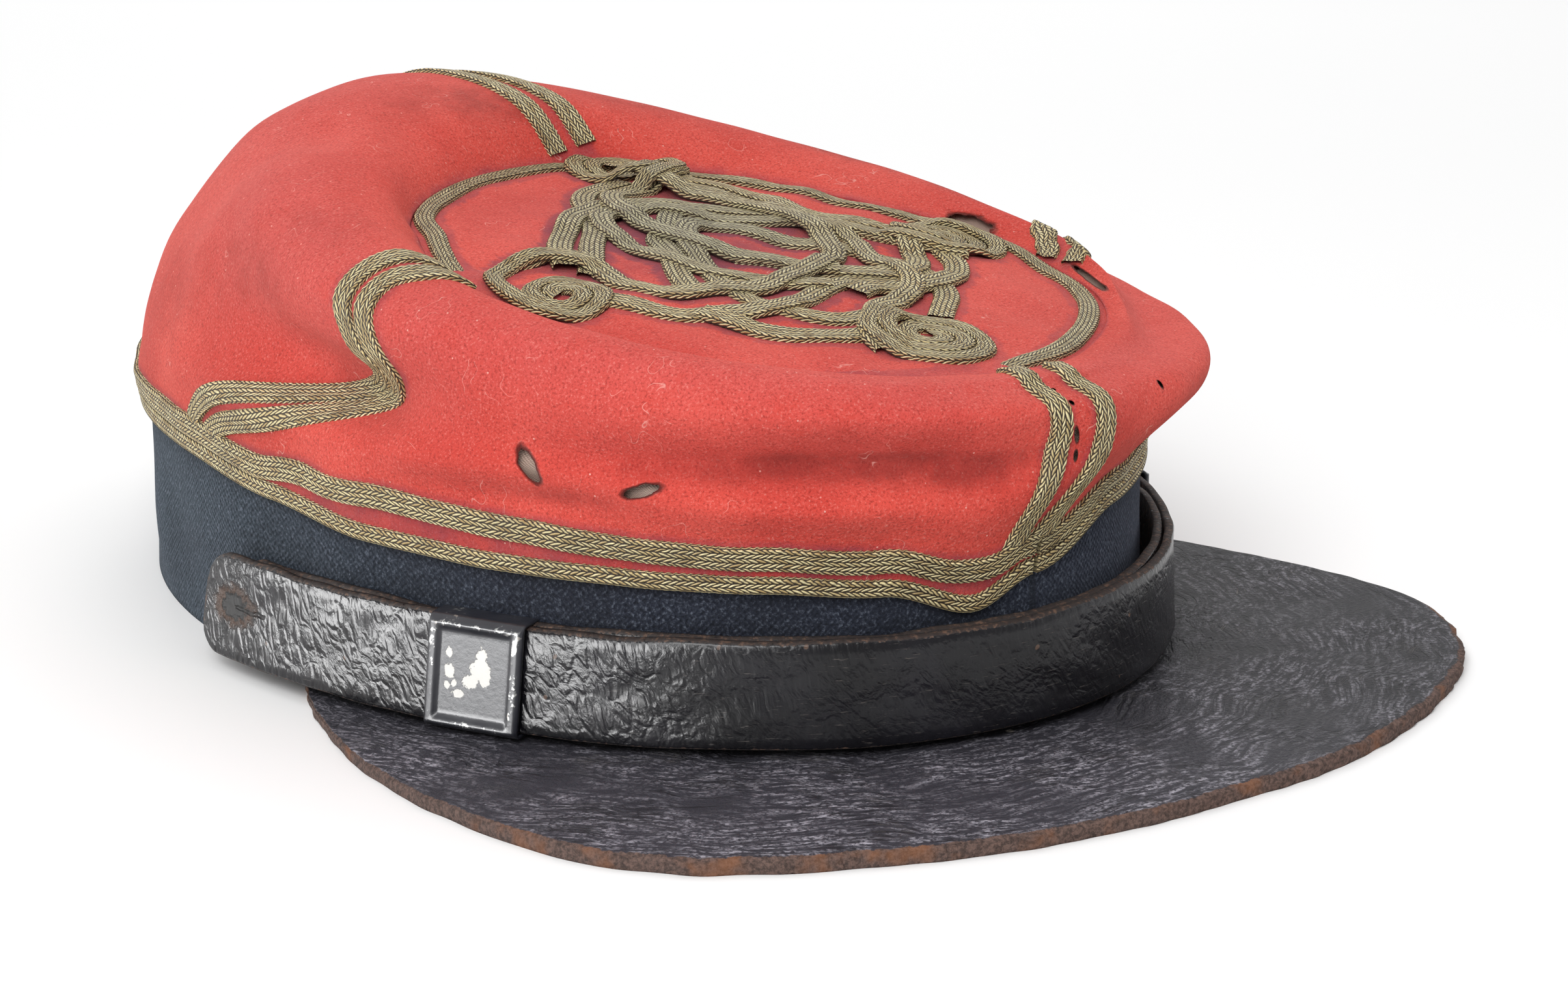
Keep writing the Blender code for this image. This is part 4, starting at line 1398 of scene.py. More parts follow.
def strip_sections(width: float) -> list[tuple[float, float]]:
    """Outline of a braid's cross-section.

    Args:
        width: Width of the braid.

    Returns:
        Points as (across, height), from one foot over the top to the other.
    """
    outline = [(-1.0, -0.30), (-1.0, 0.40), (-0.96, 0.74), (-0.86, 0.95), (-0.55, 1.02), (-0.2, 0.94)]
    outline += [(-x, h) for x, h in reversed(outline)]
    return [(x * width / 2.0, h * BRAID_THICK) for x, h in outline]


def smooth_run(numbers: Array, reach: int, closed: bool) -> Array:
    """Running mean along the first axis.

    Args:
        numbers: What to smooth.
        reach: Neighbours on each side.
        closed: Whether the ends join.

    Returns:
        The smoothed numbers.
    """
    padding = [(reach, reach)] + [(0, 0)] * (numbers.ndim - 1)
    padded = np.pad(numbers, padding, mode="wrap" if closed else "edge")
    kernel = np.hanning(2 * reach + 3)[1:-1]
    kernel /= kernel.sum()
    total = np.zeros_like(numbers)
    for step, weight in enumerate(kernel):
        total += padded[step:step + len(numbers)] * weight
    return total


class Braid:
    """Builds flat braids along paths over the crown and the disc."""

    STEP = 0.45 * MM
    SCALLOP = 0.10 * MM

    def __init__(self, crown: CrownForm) -> None:
        """Keeps the crown that braids are laid on."""
        self.crown = crown

    def even(self, params: Array, points: Array, closed: bool) -> Array:
        """Re-reads a path's parameters at even steps along its length.

        Args:
            params: Parameters at the path's points.
            points: The points.
            closed: Whether the path is a ring.

        Returns:
            The parameters at the steps.
        """
        run = run_along(points)
        count = max(8, int(run[-1] / self.STEP))
        stations = np.linspace(0.0, run[-1], count, endpoint=not closed)
        return np.stack([np.interp(stations, run, params[:, k]) for k in range(params.shape[1])], -1)

    def strip(self, centre: Array, normal: Array, lanes: Callable, width: float, closed: bool,
              grey: Array | float = 0.0) -> Surface:
        """Sweeps the braid's section along a path.

        Args:
            centre: Middle of the braid's underside at each station.
            normal: Normals there.
            lanes: Gives the bed's points and normals for sideways moves of shape (stations, 3).
            width: Width of the braid.
            closed: Whether it is a ring.
            grey: How grey the braid has gone at each station.

        Returns:
            The braid's surface.
        """
        if closed:
            ahead = np.roll(centre, -1, 0) - np.roll(centre, 1, 0)
        else:
            ahead = np.gradient(centre, axis=0)
        side = unit(np.cross(unit(ahead), normal))
        side = unit(smooth_run(side, 3, closed))
        run = run_along(centre)
        if closed:
            whole = run[-1] + np.linalg.norm(centre[0] - centre[-1])
            run = run * (STITCH * max(1, round(whole / STITCH)) / whole)
        scallop = np.sin(run * (math.tau / STITCH)) * self.SCALLOP
        points = []
        uvs = []
        for across, height in strip_sections(width):
            at_edge = np.sign(across) * (abs(across) > width * 0.4)
            bed, up = lanes(side * (across + at_edge * scallop)[:, None])
            points.append(bed + up * height)
            on_wall = np.sign(across) * (abs(across) > width * 0.47)
            down = on_wall * max(0.0, 0.74 * BRAID_THICK - height)
            uvs.append(np.stack([run, np.full_like(run, across * BRAID_WIDE / width + down)], -1))
        grid = np.stack(points, 1)
        faces = grid_faces(*grid.shape[:2], closed, False)
        grey = np.broadcast_to(np.asarray(grey, float), len(run))[:, None]
        return grid_surface(grid, faces, np.stack(uvs, 1), {"grey": grey})

    def on_crown(self, angle: Array, loop: Array, closed: bool, tuck: float = 0.0) -> Surface:
        """Braid along a path over the crown.

        Args:
            angle: Angles of the path.
            loop: Loop positions of the path.
            closed: Whether it is a ring.
            tuck: Length over which its first end dives under what crosses it.

        Returns:
            The braid's surface.
        """
        points = self.crown.point(angle, loop)
        if closed:
            angle = np.append(angle, angle[0] + 360.0)
            loop = np.append(loop, loop[0])
            points = np.concatenate([points, points[:1]])
        params = self.even(np.stack([angle, loop], -1), points, closed)
        angle, loop = params[:, 0], params[:, 1]
        centre, _, _, normal = self.crown.frame(angle, loop)
        normal = unit(smooth_run(normal, 3, closed))
        run = np.arange(len(centre)) * self.STEP
        lift = -BRAID_THICK * np.clip(1.0 - run / max(tuck, 1e-9), 0.0, 1.0)[:, None]

        def lanes(shift: Array) -> tuple[Array, Array]:
            """Bed and normals beside the path.

            Args:
                shift: Sideways moves of shape (stations, 3).

            Returns:
                The bed's points and its normals.
            """
            at, level = self.crown.beside(angle, loop, shift)
            spot, _, _, way = self.crown.frame(at, level)
            way = unit(way + normal)
            return spot + way * lift, way

        return self.strip(centre, normal, lanes, BRAID_WIDE, closed)


def hem_braid_height(angle: Array, upper: bool) -> Array:
    """Height of the middle of a hem braid; the two touch at the back and part along the near side.

    Args:
        angle: Angles round the cap.
        upper: Whether it is the upper braid.

    Returns:
        The heights.
    """
    height = hem_height(angle) + BRAID_WIDE * 0.62
    if upper:
        height = height + ring_table(HEM_PARTING, angle) * MM
    return height


@dataclass
class HemBraids:
    """The two rings of braid round the crown's hem."""

    braid: Braid
    material: Material

    def build(self, studio: Studio) -> None:
        """Makes both rings.

        Args:
            studio: Studio that takes the pieces.
        """
        angle = np.linspace(0.0, 360.0, 720, endpoint=False)
        for name, upper in (("braid_hem_lower", False), ("braid_hem_upper", True)):
            loop = self.braid.crown.loop_at_height(angle, hem_braid_height(angle, upper))
            surface = self.braid.on_crown(angle, np.maximum(loop, 0.04), True)
            studio.piece(name + "_plait", surface, [self.material], name, False)


@dataclass
class QuarterBraids:
    """The four pairs of braid that climb the crown.

    Attributes:
        braid: Builder of the braids.
        material: Their plait.
        first: Loop position where they are read from.
        stations: Stations that they are read at.
        smoothing: Stations over which they are smoothed.
        tuck: Length over which they come up from under the hem braids.
        moves: Moves in which each is set off from its pair's middle line.
    """

    braid: Braid
    material: Material
    first: float = 0.45
    stations: int = 220
    smoothing: int = 6
    tuck: float = 2.6 * MM
    moves: int = 8

    @staticmethod
    def path(stations: tuple, loop: Array, column: int = 1) -> Array:
        """Angle of a pair's middle line, or the distance between its braids.

        Args:
            stations: The pair's stations.
            loop: Loop positions to read at.
            column: 1 for the angle, 2 for the distance.

        Returns:
            The numbers at the loop positions.
        """
        known = rounded_path(tuple((row[0], row[column]) for row in stations), 24)
        order = np.argsort(known[:, 0])
        return np.interp(loop, known[order, 0], known[order, 1])

    def build(self, studio: Studio) -> None:
        """Makes the eight braids.

        Args:
            studio: Studio that takes the pieces.
        """
        crown = self.braid.crown
        for name, (short, stations) in QUARTER_PAIRS.items():
            loop = np.linspace(self.first, crown.last - short, self.stations)
            angle = self.path(stations, loop)
            apart = self.path(stations, loop, 2) * MM
            centre, _, _, normal = crown.frame(angle, loop)
            side = unit(smooth_run(np.cross(unit(np.gradient(centre, axis=0)), normal), 8, False))
            for label, hand in (("left", -1.0), ("right", 1.0)):
                at, level = crown.beside(angle, loop, -side * hand * apart[:, None] / 2.0, self.moves)
                at = smooth_run(at, self.smoothing, False)
                level = smooth_run(level, self.smoothing, False)
                height = crown.point(at, level)[:, 2]
                foot = hem_braid_height(at, True) - BRAID_WIDE * 0.1
                start = int(np.argmax((height > foot) | (level > 2.5)))
                node = f"braid_{name}_{label}"
                surface = self.braid.on_crown(at[start:], level[start:], False, self.tuck)
                studio.piece(node + "_plait", surface, [self.material], node, False)


# Strands of the knot in the order in which they are laid, each a run of places on the disc, far and back of
# its centre in millimetres, as they are seen from the front
KNOT_STRANDS = {
    "near_inner": (
        (-25, -13), (-24, -10), (-22.5, -6), (-20, -1), (-15.5, 6), (-13, 11), (-11, 15), (-6, 19),
        (-2, 23), (3, 27),
    ),
    "front_petal": (
        (9, -34), (13, -30.5), (17.5, -26.5), (20.5, -22.5), (22.3, -17.5), (21.5, -12), (20, -6),
        (17, -1), (12, 5), (9, 11), (5, 16), (0, 18.5), (-4, 16.5), (-7, 12), (-9.5, 8), (-11, 5),
        (-13, 0), (-15, -4), (-17, -9), (-18, -14), (-17.5, -18.8), (-16, -22.5), (-13.5, -26.5),
        (-9, -29), (-3, -30.5),
    ),
    "near_front": (
        (-41, -4), (-39.5, -10), (-36.5, -15), (-32.5, -18.5), (-27.5, -20.3), (-22, -22), (-17, -22.4),
        (-11.5, -21.5), (-6, -19.5), (-1, -17.3), (4, -15.5), (9, -16), (13, -19), (16, -23),
    ),
    "far_front": (
        (38, -2), (35, -7), (33, -12), (29, -16.5), (25, -19), (20, -20.5), (13, -20.8), (7, -19.5),
        (2, -21),
    ),
    "near_front_outer": (
        (-30, -19), (-27, -25), (-24, -29), (-20.5, -32.5), (-15.5, -35), (-10.5, -36), (-5, -37),
    ),
    "back_far_outer": (
        (15, 47), (18, 43), (23, 36), (25.5, 29), (26, 22.5), (29, 17), (33, 11), (38, 6),
    ),
    "back_near": (
        (5, 45), (0, 44), (-5, 42), (-9, 38.5), (-12, 34), (-15, 28), (-20, 21), (-25, 15.5),
        (-30.5, 8.5), (-35, 3),
    ),
    "far_tail": (
        (39, -9), (35, -5), (31, 1), (28, 6), (24, 12), (20, 18), (15, 22.5), (10, 25.5), (6, 28),
        (1, 31.5), (-4, 33), (-9, 33), (-14, 31), (-19, 28.5), (-24, 24), (-29, 19), (-33.5, 13),
        (-37, 7),
    ),
    "far_back": (
        (31, 1), (27.5, 7), (24.5, 13), (22.5, 19), (21, 26), (18, 33), (14, 40), (11, 46),
    ),
    "back_tail_end": (
        (-4, 2), (-1, -3), (2, -7), (7, -11), (12, -13.5), (16, -15.5), (21, -14.5), (25, -11),
        (28, -7), (31, -2), (36, 1),
    ),
    "front_tail": (
        (-10, -42), (-9, -37), (-3, -31), (2, -27.3), (8, -25.2), (13, -22.5), (16.5, -18.5),
        (17.8, -14), (17.3, -9.5), (19, -4), (21.5, 1), (22.3, 7), (19, 13), (13, 16.5), (8, 19.5),
        (3, 24), (-2, 27.5), (-8, 28.5), (-14, 27), (-17.5, 21), (-18.5, 14), (-18.5, 8), (-17, 0),
        (-14, -6), (-10, -9), (-5, -14), (0, -17),
    ),
    "back_tail": (
        (20, 48), (15, 44.5), (8, 41), (2, 39), (-4, 36.5), (-8, 31), (-9, 24), (-9, 18), (-8, 13),
        (-7, 8), (-4, 2), (-1, -3), (2, -7), (7, -11),
    ),
    "near_tail": (
        (-42, 13.5), (-35, 12), (-32, 6), (-32.5, -1), (-31, -6), (-28, -10), (-23, -12), (-18, -13),
        (-12, -13.3), (-6, -12), (-1, -10.5), (4, -8.5), (9, -6), (12.5, -3.5), (14.5, 0), (17.5, 6),
        (18.5, 12), (18.5, 18), (18, 24), (15.5, 29), (12.5, 34), (10, 40), (9, 46),
    ),
}

# Coiled ends of the knot in millimetres: the run into the coil, its middle, the radius where its turns begin
KNOT_COILS = {
    "near": (
        ((-32.5, 2), (-34, 8), (-38, 12), (-44, 12.5), (-50, 9.5), (-53, 3), (-53.5, -4)), (-45.5, -3), 8.0,
    ),
    "back": (((2, 39), (8, 41), (15, 44.5), (19.5, 48)), (9, 52), 9.4),
    "front": (((2, -27.3), (-3, -31), (-8.5, -35.5)), (1, -40.5), 10.6),
    "far": (((28, 6), (31, 1), (34.5, -4.5)), (43, 2), 10.6),
}
KNOT_SHIFT = (-0.8, -0.9)


def rounded_path(places: tuple | Array, parts: int = 14) -> Array:
    """Smooth path through places.

    Args:
        places: Places of any dimension.
        parts: Points between two places.

    Returns:
        Points of the path.
    """
    ends = np.array(places, float)
    ends = np.concatenate([2 * ends[:1] - ends[1:2], ends, 2 * ends[-1:] - ends[-2:-1]])
    share = (np.arange(parts) / parts)[:, None]
    path = []
    for index in range(1, len(ends) - 2):
        before, low, high, beyond = ends[index - 1:index + 3]
        path.append(spline(before, low, high, beyond, share))
    path.append(ends[-2:-1])
    return np.concatenate(path)


class DiscForm:
    """Upper surface of the disc, which grows as braids are laid on it."""

    CELL = 0.5 * MM

    def __init__(self) -> None:
        """Starts with a bare disc."""
        self.half = int(DISC_RADIUS * 1.1 / self.CELL)
        self.pile = np.zeros((2 * self.half + 1, 2 * self.half + 1))
        self.ripples = Ripples(30 * MM, 11 * MM, seed=5)

    def height(self, x: Array, y: Array) -> Array:
        """Height of the bare disc.

        Args:
            x: Places far of its centre.
            y: Places back of its centre.

        Returns:
            The heights.
        """
        place = np.stack([x, y, np.zeros_like(x)], -1)
        rim = np.clip((DISC_RADIUS - np.hypot(x, y)) / (8 * MM), 0.0, 1.0)
        level = disc_plane(x + DISC_CENTRE[0], y + DISC_CENTRE[1])
        return level + self.ripples.at(place) * CLOTH_RIPPLE * rim

    def point(self, x: Array, y: Array) -> Array:
        """Points in the cap's frame at places measured from the disc's centre."""
        return np.stack([x + DISC_CENTRE[0], y + DISC_CENTRE[1], self.height(x, y)], -1)

    def cells(self, x: Array, y: Array) -> tuple[Array, Array]:
        """Rows and columns of the cells at places."""
        cells = [np.round(place / self.CELL).astype(int) + self.half for place in (y, x)]
        return tuple(np.clip(cells, 0, 2 * self.half))

    def lay(self, x: Array, y: Array, side: Array, width: float, thick: float) -> Array:
        """Lays a strip over what is there already.

        Args:
            x: Places of its middle line, far.
            y: Places of its middle line, back.
            side: Sideways unit vectors in the disc.
            width: Width of the strip.
            thick: Thickness that it adds.

        Returns:
            Height of its underside over the disc at each station.
        """
        lanes = np.linspace(-0.46, 0.46, 9)
        under = np.zeros_like(x)
        places = [self.cells(x + side[:, 0] * width * k, y + side[:, 1] * width * k) for k in lanes]
        for row, column in places:
            under = np.maximum(under, self.pile[row, column])
        reach = 5
        padded = np.pad(under, reach, mode="edge")
        under = np.max([padded[k:k + len(x)] for k in range(2 * reach + 1)], axis=0)
        under = smooth_run(under, 6, False)
        for row, column in places:
            np.maximum.at(self.pile, (row, column), under + thick)
        return under


@dataclass
class Knot:
    """The interlaced knot with its coiled ends, and the ring of braid round the disc.

    Attributes:
        braid: Builder of the braids.
        disc: The disc that they are laid on.
        material: Their plait.
        strand_size: Width and thickness of a strand, as shares of a braid's.
        coil_size: Width and thickness of a coil's turns, as shares of a braid's.
        ring_wide: Width of the ring, as a share of a braid's.
        ring_grey: How grey the ring has gone.
        coil_dive: Length over which a coil comes up from under the knot.
    """

    braid: Braid
    disc: DiscForm
    material: Material
    strand_size: tuple[float, float] = (1.08, 0.60)
    coil_size: tuple[float, float] = (0.80, 0.42)
    ring_wide: float = 0.86
    ring_grey: float = 0.35
    coil_dive: float = 5.0 * MM

    def strand(self, path: Array, width: float, thick: float, dive: float = 0.0) -> Surface:
        """One braid along a path on the disc.

        Args:
            path: Its middle line, measured from the disc's centre, and how far it is pressed down.
            width: Its width.
            thick: Thickness that it adds to the pile.
            dive: Length over which its first end comes up through what lies there.

        Returns:
            The braid's surface.
        """
        points = self.disc.point(path[:, 0], path[:, 1])
        path = self.braid.even(path, points, False)
        x, y = path[:, 0], path[:, 1]
        sink = path[:, 2] if path.shape[1] > 2 else 0.0
        centre = self.disc.point(x, y)
        ahead = unit(np.gradient(np.stack([x, y, np.zeros_like(x)], -1), axis=0))
        side = np.stack([ahead[:, 1], -ahead[:, 0], np.zeros_like(x)], -1)
        under = self.disc.lay(x, y, side, width, thick)
        normal = np.tile(unit(np.array([-DISC_SIDE_SLOPE, -DISC_FORWARD_SLOPE, 1.0])), (len(x), 1))
        run = np.arange(len(x)) * self.braid.STEP
        rising = eased(np.clip(run / max(dive, 1e-9), 0.0, 1.0))
        lift = (under * rising + 0.05 * MM - sink)[:, None]

        def lanes(shift: Array) -> tuple[Array, Array]:
            """Bed and normals beside the path, for sideways moves of shape (stations, 3)."""
            return self.disc.point(x + shift[:, 0], y + shift[:, 1]) + normal * lift, normal

        grey = np.clip(1.3 - np.hypot(x + 4 * MM, y - 14 * MM) / (30 * MM), 0.0, 1.0)
        return self.braid.strip(centre, normal, lanes, width, False, grey)

    def coil(self, row: tuple) -> Surface:
        """One coiled end: a run in from its tail, then turns that close on the middle.

        Args:
            row: A row of KNOT_COILS.

        Returns:
            The coil's surface.
        """
        run_in, middle, reach = row
        width = BRAID_WIDE * self.coil_size[0]
        tail = np.array(run_in, float)
        middle = np.array(middle, float)
        last = tail[-1] - middle
        start = math.atan2(last[1], last[0])
        outer = float(np.hypot(*last))
        inner = width / MM * 0.32
        step = width / MM * 1.05
        turns = (reach - inner) / step
        share = np.linspace(0.04, 1.0, int(turns * 22))
        ease = np.clip(share * turns / 0.35, 0.0, 1.0)
        radius = (outer + (reach - outer) * ease) - (reach - inner) * share
        turn = start + math.tau * turns * share
        winding = middle + np.stack([radius * np.cos(turn), radius * np.sin(turn)], -1)
        places = np.concatenate([tail, winding]) + np.array(KNOT_SHIFT)
        path = rounded_path(places, 6) * MM
        return self.strand(path, width, BRAID_THICK * self.coil_size[1], self.coil_dive)

    def ring(self) -> Surface:
        """The ring of braid round the disc.

        Returns:
            Its surface.
        """
        angle = np.linspace(0.0, 360.0, 361)
        turn = np.radians(angle)
        reach = np.minimum(ring_table(RING_LINE, angle) * MM, DISC_RADIUS - BRAID_WIDE * 0.5)
        sink = ring_table(RING_SINK, angle) * MM
        path = np.stack([-np.sin(turn) * reach, -np.cos(turn) * reach, sink], -1)
        surface = self.strand(path, BRAID_WIDE * self.ring_wide, BRAID_THICK)
        surface.values["grey"] = np.full_like(surface.values["grey"], self.ring_grey)
        return surface

    def build(self, studio: Studio) -> None:
        """Makes the ring and the knot.

        Args:
            studio: Studio that takes the pieces.
        """
        studio.piece("braid_disc_plait", self.ring(), [self.material], "braid_disc", False)
        paths = [rounded_path(places) + np.array(KNOT_SHIFT) for places in KNOT_STRANDS.values()]
        wide, thick = self.strand_size
        laid = [self.strand(path * MM, BRAID_WIDE * wide, BRAID_THICK * thick) for path in paths]
        laid += [self.coil(row) for row in KNOT_COILS.values()]
        whole = functools.reduce(Surface.joined, laid)
        studio.piece("knot_plait", whole, [self.material], "knot", False)


# Dirty places of the crown, most in its folds, dents and under its roll, where the darkening is partly
# painted shade: angle, spread, loop, spread in loops, strength
SOIL_AND_SHADE_MARKS = (
    (20, 22, 2.20, 0.20, 0.75), (14, 12, 2.00, 0.25, 0.55), (38, 16, 2.05, 0.22, 0.50),
    (55, 12, 1.55, 0.20, 0.45), (84, 8, 2.3, 0.4, 0.45), (103, 12, 3.4, 0.6, 0.50),
    (102, 9, 4.6, 0.5, 0.45), (106, 8, 5.4, 0.5, 0.30), (120, 16, 2.4, 0.8, 0.35),
    (176, 9, 5.9, 0.5, 0.75), (160, 12, 5.6, 0.5, 0.45), (205, 16, 5.6, 0.6, 0.50),
    (239, 12, 5.6, 0.5, 0.80), (260, 10, 5.4, 0.5, 0.55), (100, 22, 0.9, 0.3, 0.30),
    (330, 14, 2.0, 0.6, 0.40), (312, 14, 2.2, 0.6, 0.45), (352, 5, 3.4, 2.2, 0.30),
)

# Small dents and lumps of the cloth beyond those of the plain solid
SMALL_DENTS = (
    # angle, spread, loop, loop_spread, out, up
    (81, 8, 2.30, 0.30, -0.040, 0.0), (86, 12, 3.10, 0.35, 0.026, -0.006),
    (96, 12, 1.75, 0.35, 0.022, 0.0), (68, 14, 1.9, 0.35, 0.016, 0.0),
    (56, 12, 1.45, 0.30, -0.016, 0.0), (60, 10, 3.6, 0.5, -0.008, -0.006),
    (30, 26, 2.15, 0.22, -0.018, 0.0), (30, 22, 1.55, 0.30, 0.016, 0.0),
    (128, 9, 3.9, 0.7, -0.022, -0.010), (142, 9, 5.0, 0.5, -0.010, -0.022),
    (152, 8, 5.9, 0.5, 0.0, -0.018), (172, 8, 4.7, 0.7, 0.008, 0.006), (20, 8, 4.0, 0.4, 0.006, 0.004),
    (357, 13, 3.5, 0.55, -0.024, -0.008), (357, 13, 2.1, 0.45, 0.012, 0.0),
    (316, 30, 1.75, 0.65, 0.038, 0.0), (310, 30, 3.9, 0.9, -0.018, -0.030),
    (291, 15, 5.0, 1.1, 0.0, 0.022), (318, 28, 2.5, 0.6, 0.010, -0.012),
    (270, 30, 5.2, 0.8, 0.0, 0.012),
)


@dataclass
class CrownCloth:
    """The crown's wool with its lining."""

    crown: CrownForm
    wool: Material
    lining: Material
    around: int = 336
    rows: int = 120

    def marks(self, angle: Array, loop: Array) -> dict[str, Array]:
        """Dirt and stain at places of the wall, partly painted shade in its folds, beside the braids and at
        the seam, and its fading.

        Args:
            angle: Angles round the cap.
            loop: Loop positions.

        Returns:
            The named numbers, from 0 to 1.
        """
        # Dirt marks, most in the folds and dents, where they are partly painted shade.
        soil_and_shade = np.zeros_like(angle)
        for at, spread, level, level_spread, strength in SOIL_AND_SHADE_MARKS:
            soil_and_shade += strength * bell(turned(angle, at) / spread, (loop - level) / level_spread)
        spot = self.crown.point(angle, loop)
        over_hem = spot[..., 2] - hem_braid_height(angle, True) - BRAID_WIDE / 2.0
        # Thin bands beside the hem braids, the quarter braids and the seam: stain that is partly painted
        # shade.
        bleed_and_shade = bell(np.maximum(over_hem, 0.0) / (1.3 * MM)) * 0.5
        for _, stations in QUARTER_PAIRS.values():
            middle = QuarterBraids.path(stations, loop)
            apart = QuarterBraids.path(stations, loop, 2) / 2.0
            reach = np.abs(np.radians(turned(angle, middle))) * 80.0
            away = np.maximum(np.abs(reach - apart) - 2.2, 0.0)
            bleed_and_shade = np.maximum(bleed_and_shade, bell(away / 1.3) * (loop > 0.8) * 0.45)
        bleed_and_shade = np.maximum(bleed_and_shade, bell((loop - self.crown.last) / 0.25) * 0.5)
        faded = 0.15 + bell((loop - 4.2) / 1.4) * 0.45
        return {"soil_and_shade": np.clip(soil_and_shade, 0, 1), "bleed_and_shade": np.clip(bleed_and_shade, 0, 1), "faded": np.clip(faded, 0, 1)}

    def build(self, studio: Studio) -> None:
        """Makes the wall and roll.

        Args:
            studio: Studio that takes the pieces.
        """
        angle = np.linspace(0.0, 360.0, self.around, endpoint=False)[:, None]
        loop = np.linspace(0.0, self.crown.last, self.rows)[None, :]
        angle, loop = np.broadcast_arrays(angle, loop)
        spot, _, _, normal = self.crown.frame(angle, loop)
        run = np.radians(angle) * (HALF_LENGTH + HALF_WIDTH) / 2.0
        uv = np.stack([run, loop * 16 * MM], -1)
        surface = folded_sheet(spot, spot - normal * CLOTH * 0.9, uv, self.marks(angle, loop))
        column = np.arange(len(surface.faces)) % (2 * self.rows)
        surface.looks = ((column >= self.rows) & (column < 2 * self.rows - 1)).astype(int)
        studio.piece("crown_wool", surface, [self.wool, self.lining], "crown_side")


@dataclass
class DiscCloth:
    """The disc of wool that closes the crown.

    Attributes:
        disc: Its upper surface.
        wool: Its cloth.
        around: Points round it.
        rings: Points from its middle to its rim.
        overlap: How far it reaches under the crown's seam.
        spread: Cells round the braids over which their stain, partly painted shade, reaches.
        soil_and_shade: How dirty it is, the same all over.
        faded: How faded it is.
    """

    disc: DiscForm
    wool: Material
    around: int = 256
    rings: int = 72
    overlap: float = 0.3 * MM
    spread: int = 4
    soil_and_shade: float = 0.12
    faded: float = 0.35

    def build(self, studio: Studio) -> None:
        """Makes the disc.

        Args:
            studio: Studio that takes the pieces.
        """
        turn = np.linspace(0.0, math.tau, self.around, endpoint=False)[:, None]
        reach = np.linspace(0.002, 1.0, self.rings)[None, :] * (DISC_RADIUS + self.overlap)
        x = -np.sin(turn) * reach
        y = -np.cos(turn) * reach
        top = self.disc.point(x, y)
        near = self.disc.pile > 0.0
        for _ in range(self.spread):
            near[1:-1, 1:-1] |= near[:-2, 1:-1] | near[2:, 1:-1] | near[1:-1, :-2] | near[1:-1, 2:]
        close = near[self.disc.cells(x, y)].astype(float)
        middle = bell(np.hypot(x + 6 * MM, y - 10 * MM) / (32 * MM))
        ones = np.ones_like(x)
        # Stain over the knot's middle and close round the braids, partly painted shade beside them.
        bleed_and_shade = np.clip(close * 0.40 + middle * 0.55, 0, 1)
        marks = {"bleed_and_shade": bleed_and_shade, "soil_and_shade": ones * self.soil_and_shade, "faded": ones * self.faded}
        surface = folded_sheet(top, top - np.array([0.0, 0.0, CLOTH]), np.stack([x, y], -1), marks)
        studio.piece("disc_wool", surface, [self.wool], "crown_top")


@dataclass
class Band:
    """The band of blue wool.

    Attributes:
        wool: Its cloth.
        around: Points round it.
        rows: Points up it.
        sway: How far its wall sways.
        belly: How far its wall swells.
    """

    wool: Material
    around: int = 360
    rows: int = 28
    sway: float = 0.5 * MM
    belly: float = 0.25 * MM

    def build(self, studio: Studio) -> None:
        """Makes the band.

        Args:
            studio: Studio that takes the pieces.
        """
        angle = np.linspace(0.0, 360.0, self.around, endpoint=False)[:, None]
        angle, share = np.broadcast_arrays(angle, np.linspace(0.0, 1.0, self.rows)[None, :])
        z = share * (hem_height(angle) + HEM_SEAM)
        sway = Ripples(46 * MM, 18 * MM, seed=3).at(oval_point(angle, 0.0, z)) * self.sway
        middle = np.sin(share * math.pi)
        outside = oval_point(angle, (sway + self.belly) * middle, z)
        inside = oval_point(angle, sway * middle - CLOTH, z)
        uv = np.stack([np.radians(angle) * (HALF_LENGTH + HALF_WIDTH) / 2.0, z], -1)
        faded = np.clip((angle - 60.0) / 50.0, 0.0, 1.0) * np.clip((290.0 - angle) / 80.0, 0.0, 1.0)
        surface = folded_sheet(outside, inside, uv, {"faded": faded}, 1.0)
        studio.piece("band_wool", surface, [self.wool], "band")


